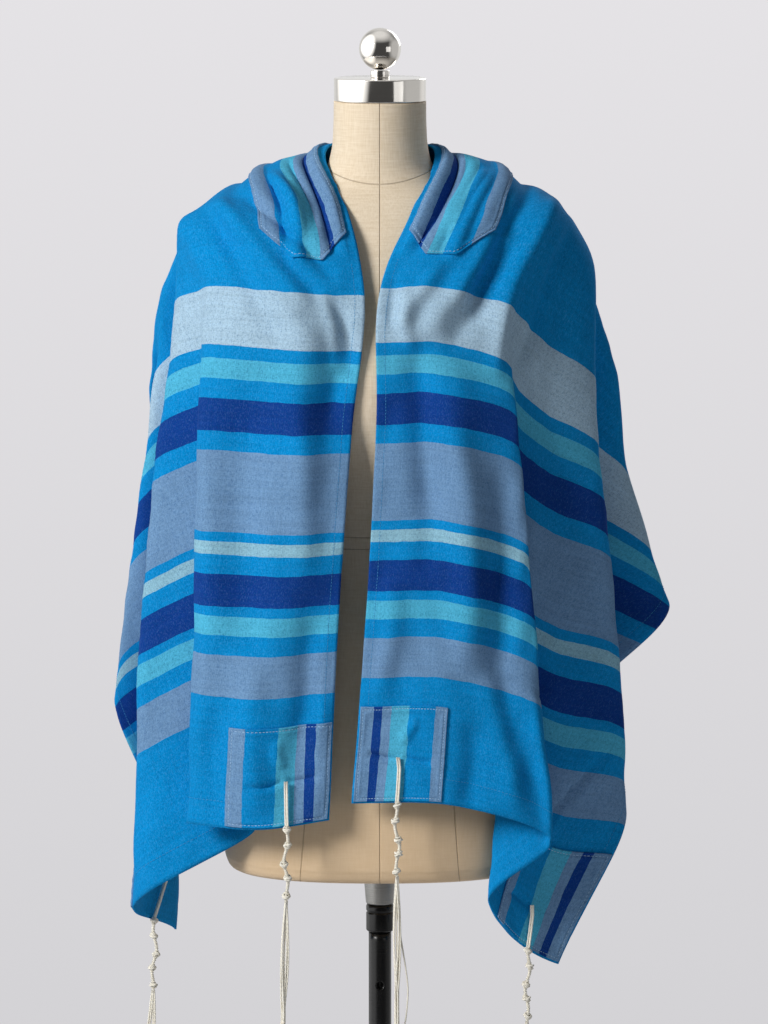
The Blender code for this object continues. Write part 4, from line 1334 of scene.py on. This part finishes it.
SOCKET_LOW, SOCKET_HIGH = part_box("form_socket")
SOCKET_WIDE = SOCKET_HIGH[0]
SOCKET_TIP = 0.0143
SOCKET = [
    (0, SOCKET_HIGH[2]), (SOCKET_WIDE, SOCKET_HIGH[2]), (SOCKET_WIDE, SOCKET_HIGH[2] - 0.012),
    (SOCKET_TIP, SOCKET_LOW[2] + 0.0012), (SOCKET_TIP - 0.0012, SOCKET_LOW[2]), (0, SOCKET_LOW[2]),
]
turned("socket_piece", rounded(SOCKET, 0.0008), STEEL, "form_socket", "brushed_metal")
COLLAR_LOW, COLLAR_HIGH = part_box("form_collar")
COLLAR_WIDE = COLLAR_HIGH[0]
COLLAR = [
    (0, COLLAR_HIGH[2]), (COLLAR_WIDE - 0.001, COLLAR_HIGH[2]), (COLLAR_WIDE, COLLAR_HIGH[2] - 0.002),
    (COLLAR_WIDE, COLLAR_HIGH[2] - 0.006), (COLLAR_WIDE - 0.0011, COLLAR_HIGH[2] - 0.0075),
    (COLLAR_WIDE, COLLAR_HIGH[2] - 0.009), (COLLAR_WIDE, COLLAR_LOW[2] + 0.0015),
    (COLLAR_WIDE - 0.0015, COLLAR_LOW[2]), (0, COLLAR_LOW[2]),
]
turned("collar_piece", rounded(COLLAR, 0.0006), BLACK, "form_collar", "black_lacquer")

# %% [markdown]
# ## The pole and its stop hole
#
# The pole is a plain lacquered tube with a small drilled stop hole at the front, where a
# spring button would catch. The hole is pressed into the pole's own grid, deep enough to
# read as a dark bore, which costs less than cutting a separate hole.

# %% Pole
HOLE_HEIGHT = 0.6055
HOLE_RADIUS = 0.0036
HOLE_DEPTH = 0.006
HOLE_SURROUND = 0.008
POLE_SIDES = 160


def build_pole():
    """The pole as a grid of (height, turn), its radius pressed in near the stop hole."""
    low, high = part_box("form_pole")
    radius = high[0]
    below, above = HOLE_HEIGHT - HOLE_SURROUND, HOLE_HEIGHT + HOLE_SURROUND
    z = line_run((low[2], below, 0.02), (below, above, 0.0005), (above, high[2], 0.01))[::-1]
    turn = np.linspace(0, 2 * np.pi, POLE_SIDES, endpoint=False)
    off = np.hypot((z[:, None] - HOLE_HEIGHT), radius * np.arctan2(np.cos(turn), -np.sin(turn)))
    r = radius - HOLE_DEPTH * step_down(off, HOLE_RADIUS, 0.0002)
    x, y = r * np.cos(turn), r * np.sin(turn)
    grid = np.stack([x, y, np.broadcast_to(z[:, None], x.shape)], axis=-1)
    lid = grid[:1] * (0.01, 0.01, 1)
    foot = grid[-1:] * (0.01, 0.01, 1)
    points = np.concatenate([lid, grid, foot])
    faces = quads(len(points), POLE_SIDES, wrap_columns=True)
    points = points.reshape(-1, 3)
    piece = add_piece("pole_piece", points, faces, points[:, [0, 2]], BLACK)
    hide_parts("form_pole")


build_pole()
for name in ("form_base", "form_hub"):
    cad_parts[name].data.materials[0] = BLACK

# %% [markdown]
# ## Floor, light and background
#
# A large soft light stands high at the front left, a weak one at the front right and one
# behind, so folds read from their shaded side. The floor and the background are plain
# and pale. Metal mirrors a few soft panels of the surround, which a studio would have.

# %% Stage
AROUND = (0.125, 0.130, 0.140, 1.0)
FLOOR_RADIUS = 2.0
FLOOR_SIDES = 96
LIGHTS = [
    # name, place, aim, size, power, colour
    ("key light", (-3.0, -2.4, 2.95), (0, 0, 1.1), 1.4, 178.0, (1.0, 0.985, 0.96)),
    ("fill light", (2.6, -2.4, 1.5), (0, 0, 1.0), 1.6, 8.0, (1.0, 1.0, 1.0)),
    ("back light", (1.4, 2.8, 2.4), (0, 0, 1.2), 1.5, 32.0, (1.0, 1.0, 1.0)),
]
PANELS = [
    # direction, share where it starts, share where it is full, strength
    ((-0.97, -0.15, 0.2), 0.55, 0.80, 1.9),
    ((0.95, 0.10, 0.0), 0.62, 0.86, 0.55),
    ((0.0, 0.0, 1.0), 0.55, 0.95, 0.9),
    ((0.0, 1.0, -0.1), 0.45, 0.80, 0.75),
]
LEAST_SHINE = 0.07


def area_light(name, place, aim, size, power, colour):
    """A square soft light at place that faces aim."""
    data = bpy.data.lights.new(name, "AREA")
    data.energy = power
    data.size = size
    data.color = colour
    lamp = bpy.data.objects.new(name, data)
    bpy.context.scene.collection.objects.link(lamp)
    way = np.array(aim, float) - np.array(place, float)
    flat = np.hypot(way[0], way[1])
    lamp.rotation_euler = (np.arctan2(flat, -way[2]), 0.0, np.arctan2(-way[0], way[1]))
    lamp.location = place
    print(name, power, "W at", place)


def build_floor():
    """A pale disc, just below the base."""
    turn = np.linspace(0, 2 * np.pi, FLOOR_SIDES, endpoint=False)
    x, y = FLOOR_RADIUS * np.cos(turn), FLOOR_RADIUS * np.sin(turn)
    ring = np.column_stack([x, y, np.full(FLOOR_SIDES, -0.0005)])
    mesh = bpy.data.meshes.new("floor")
    mesh.from_pydata(ring.tolist(), [], [list(range(FLOOR_SIDES))])
    material, tree, shader = new_material("pale floor", Roughness=0.8)
    place = node(tree, "ShaderNodeTexCoord").outputs["Object"]
    cloud = node(tree, "ShaderNodeTexNoise", {"Vector": place, "Scale": 3.0, "Detail": 4.0}).outputs[0]
    tone = mixed(tree, cloud, linear("DADADC"), linear("E4E4E6"))
    tree.links.new(tone, shader.inputs["Base Color"])
    mesh.materials.append(material)
    floor = bpy.data.objects.new("floor", mesh)
    bpy.context.scene.collection.objects.link(floor)


def lobe(tree, way, middle, start, full, strength):
    """Brightness of one soft panel of the surround, by how near the direction is to its middle."""
    near = node(tree, "ShaderNodeVectorMath", {0: way, 1: middle}, operation="DOT_PRODUCT")
    return ranged(tree, near.outputs["Value"], start, full, 0.0, strength)


def build_world():
    """A plain pale surround that is seen brighter than it lights, so that folds keep their shade."""
    world = bpy.data.worlds.new("surround")
    world.use_nodes = True
    tree = world.node_tree
    path = node(tree, "ShaderNodeLightPath").outputs
    way = node(tree, "ShaderNodeTexCoord").outputs["Generated"]
    height = node(tree, "ShaderNodeSeparateXYZ", {"Vector": way}).outputs[2]
    seen = mixed(tree, ranged(tree, height, -0.22, -0.04), linear("D3D2D5"), linear("E5E3E6"))
    shine = LEAST_SHINE
    for facts in PANELS:
        shine = sums(tree, "ADD", lobe(tree, way, *facts), shine)
    mirrored = node(tree, "ShaderNodeCombineColor", {0: shine, 1: shine, 2: shine}).outputs[0]
    tone = mixed(tree, path["Is Glossy Ray"], AROUND, mirrored)
    tone = mixed(tree, path["Is Camera Ray"], tone, seen)
    tree.links.new(tone, tree.nodes["Background"].inputs["Color"])
    bpy.context.scene.world = world
    bpy.context.scene.view_settings.view_transform = "Standard"


build_floor()
build_world()
for light in LIGHTS:
    area_light(*light)
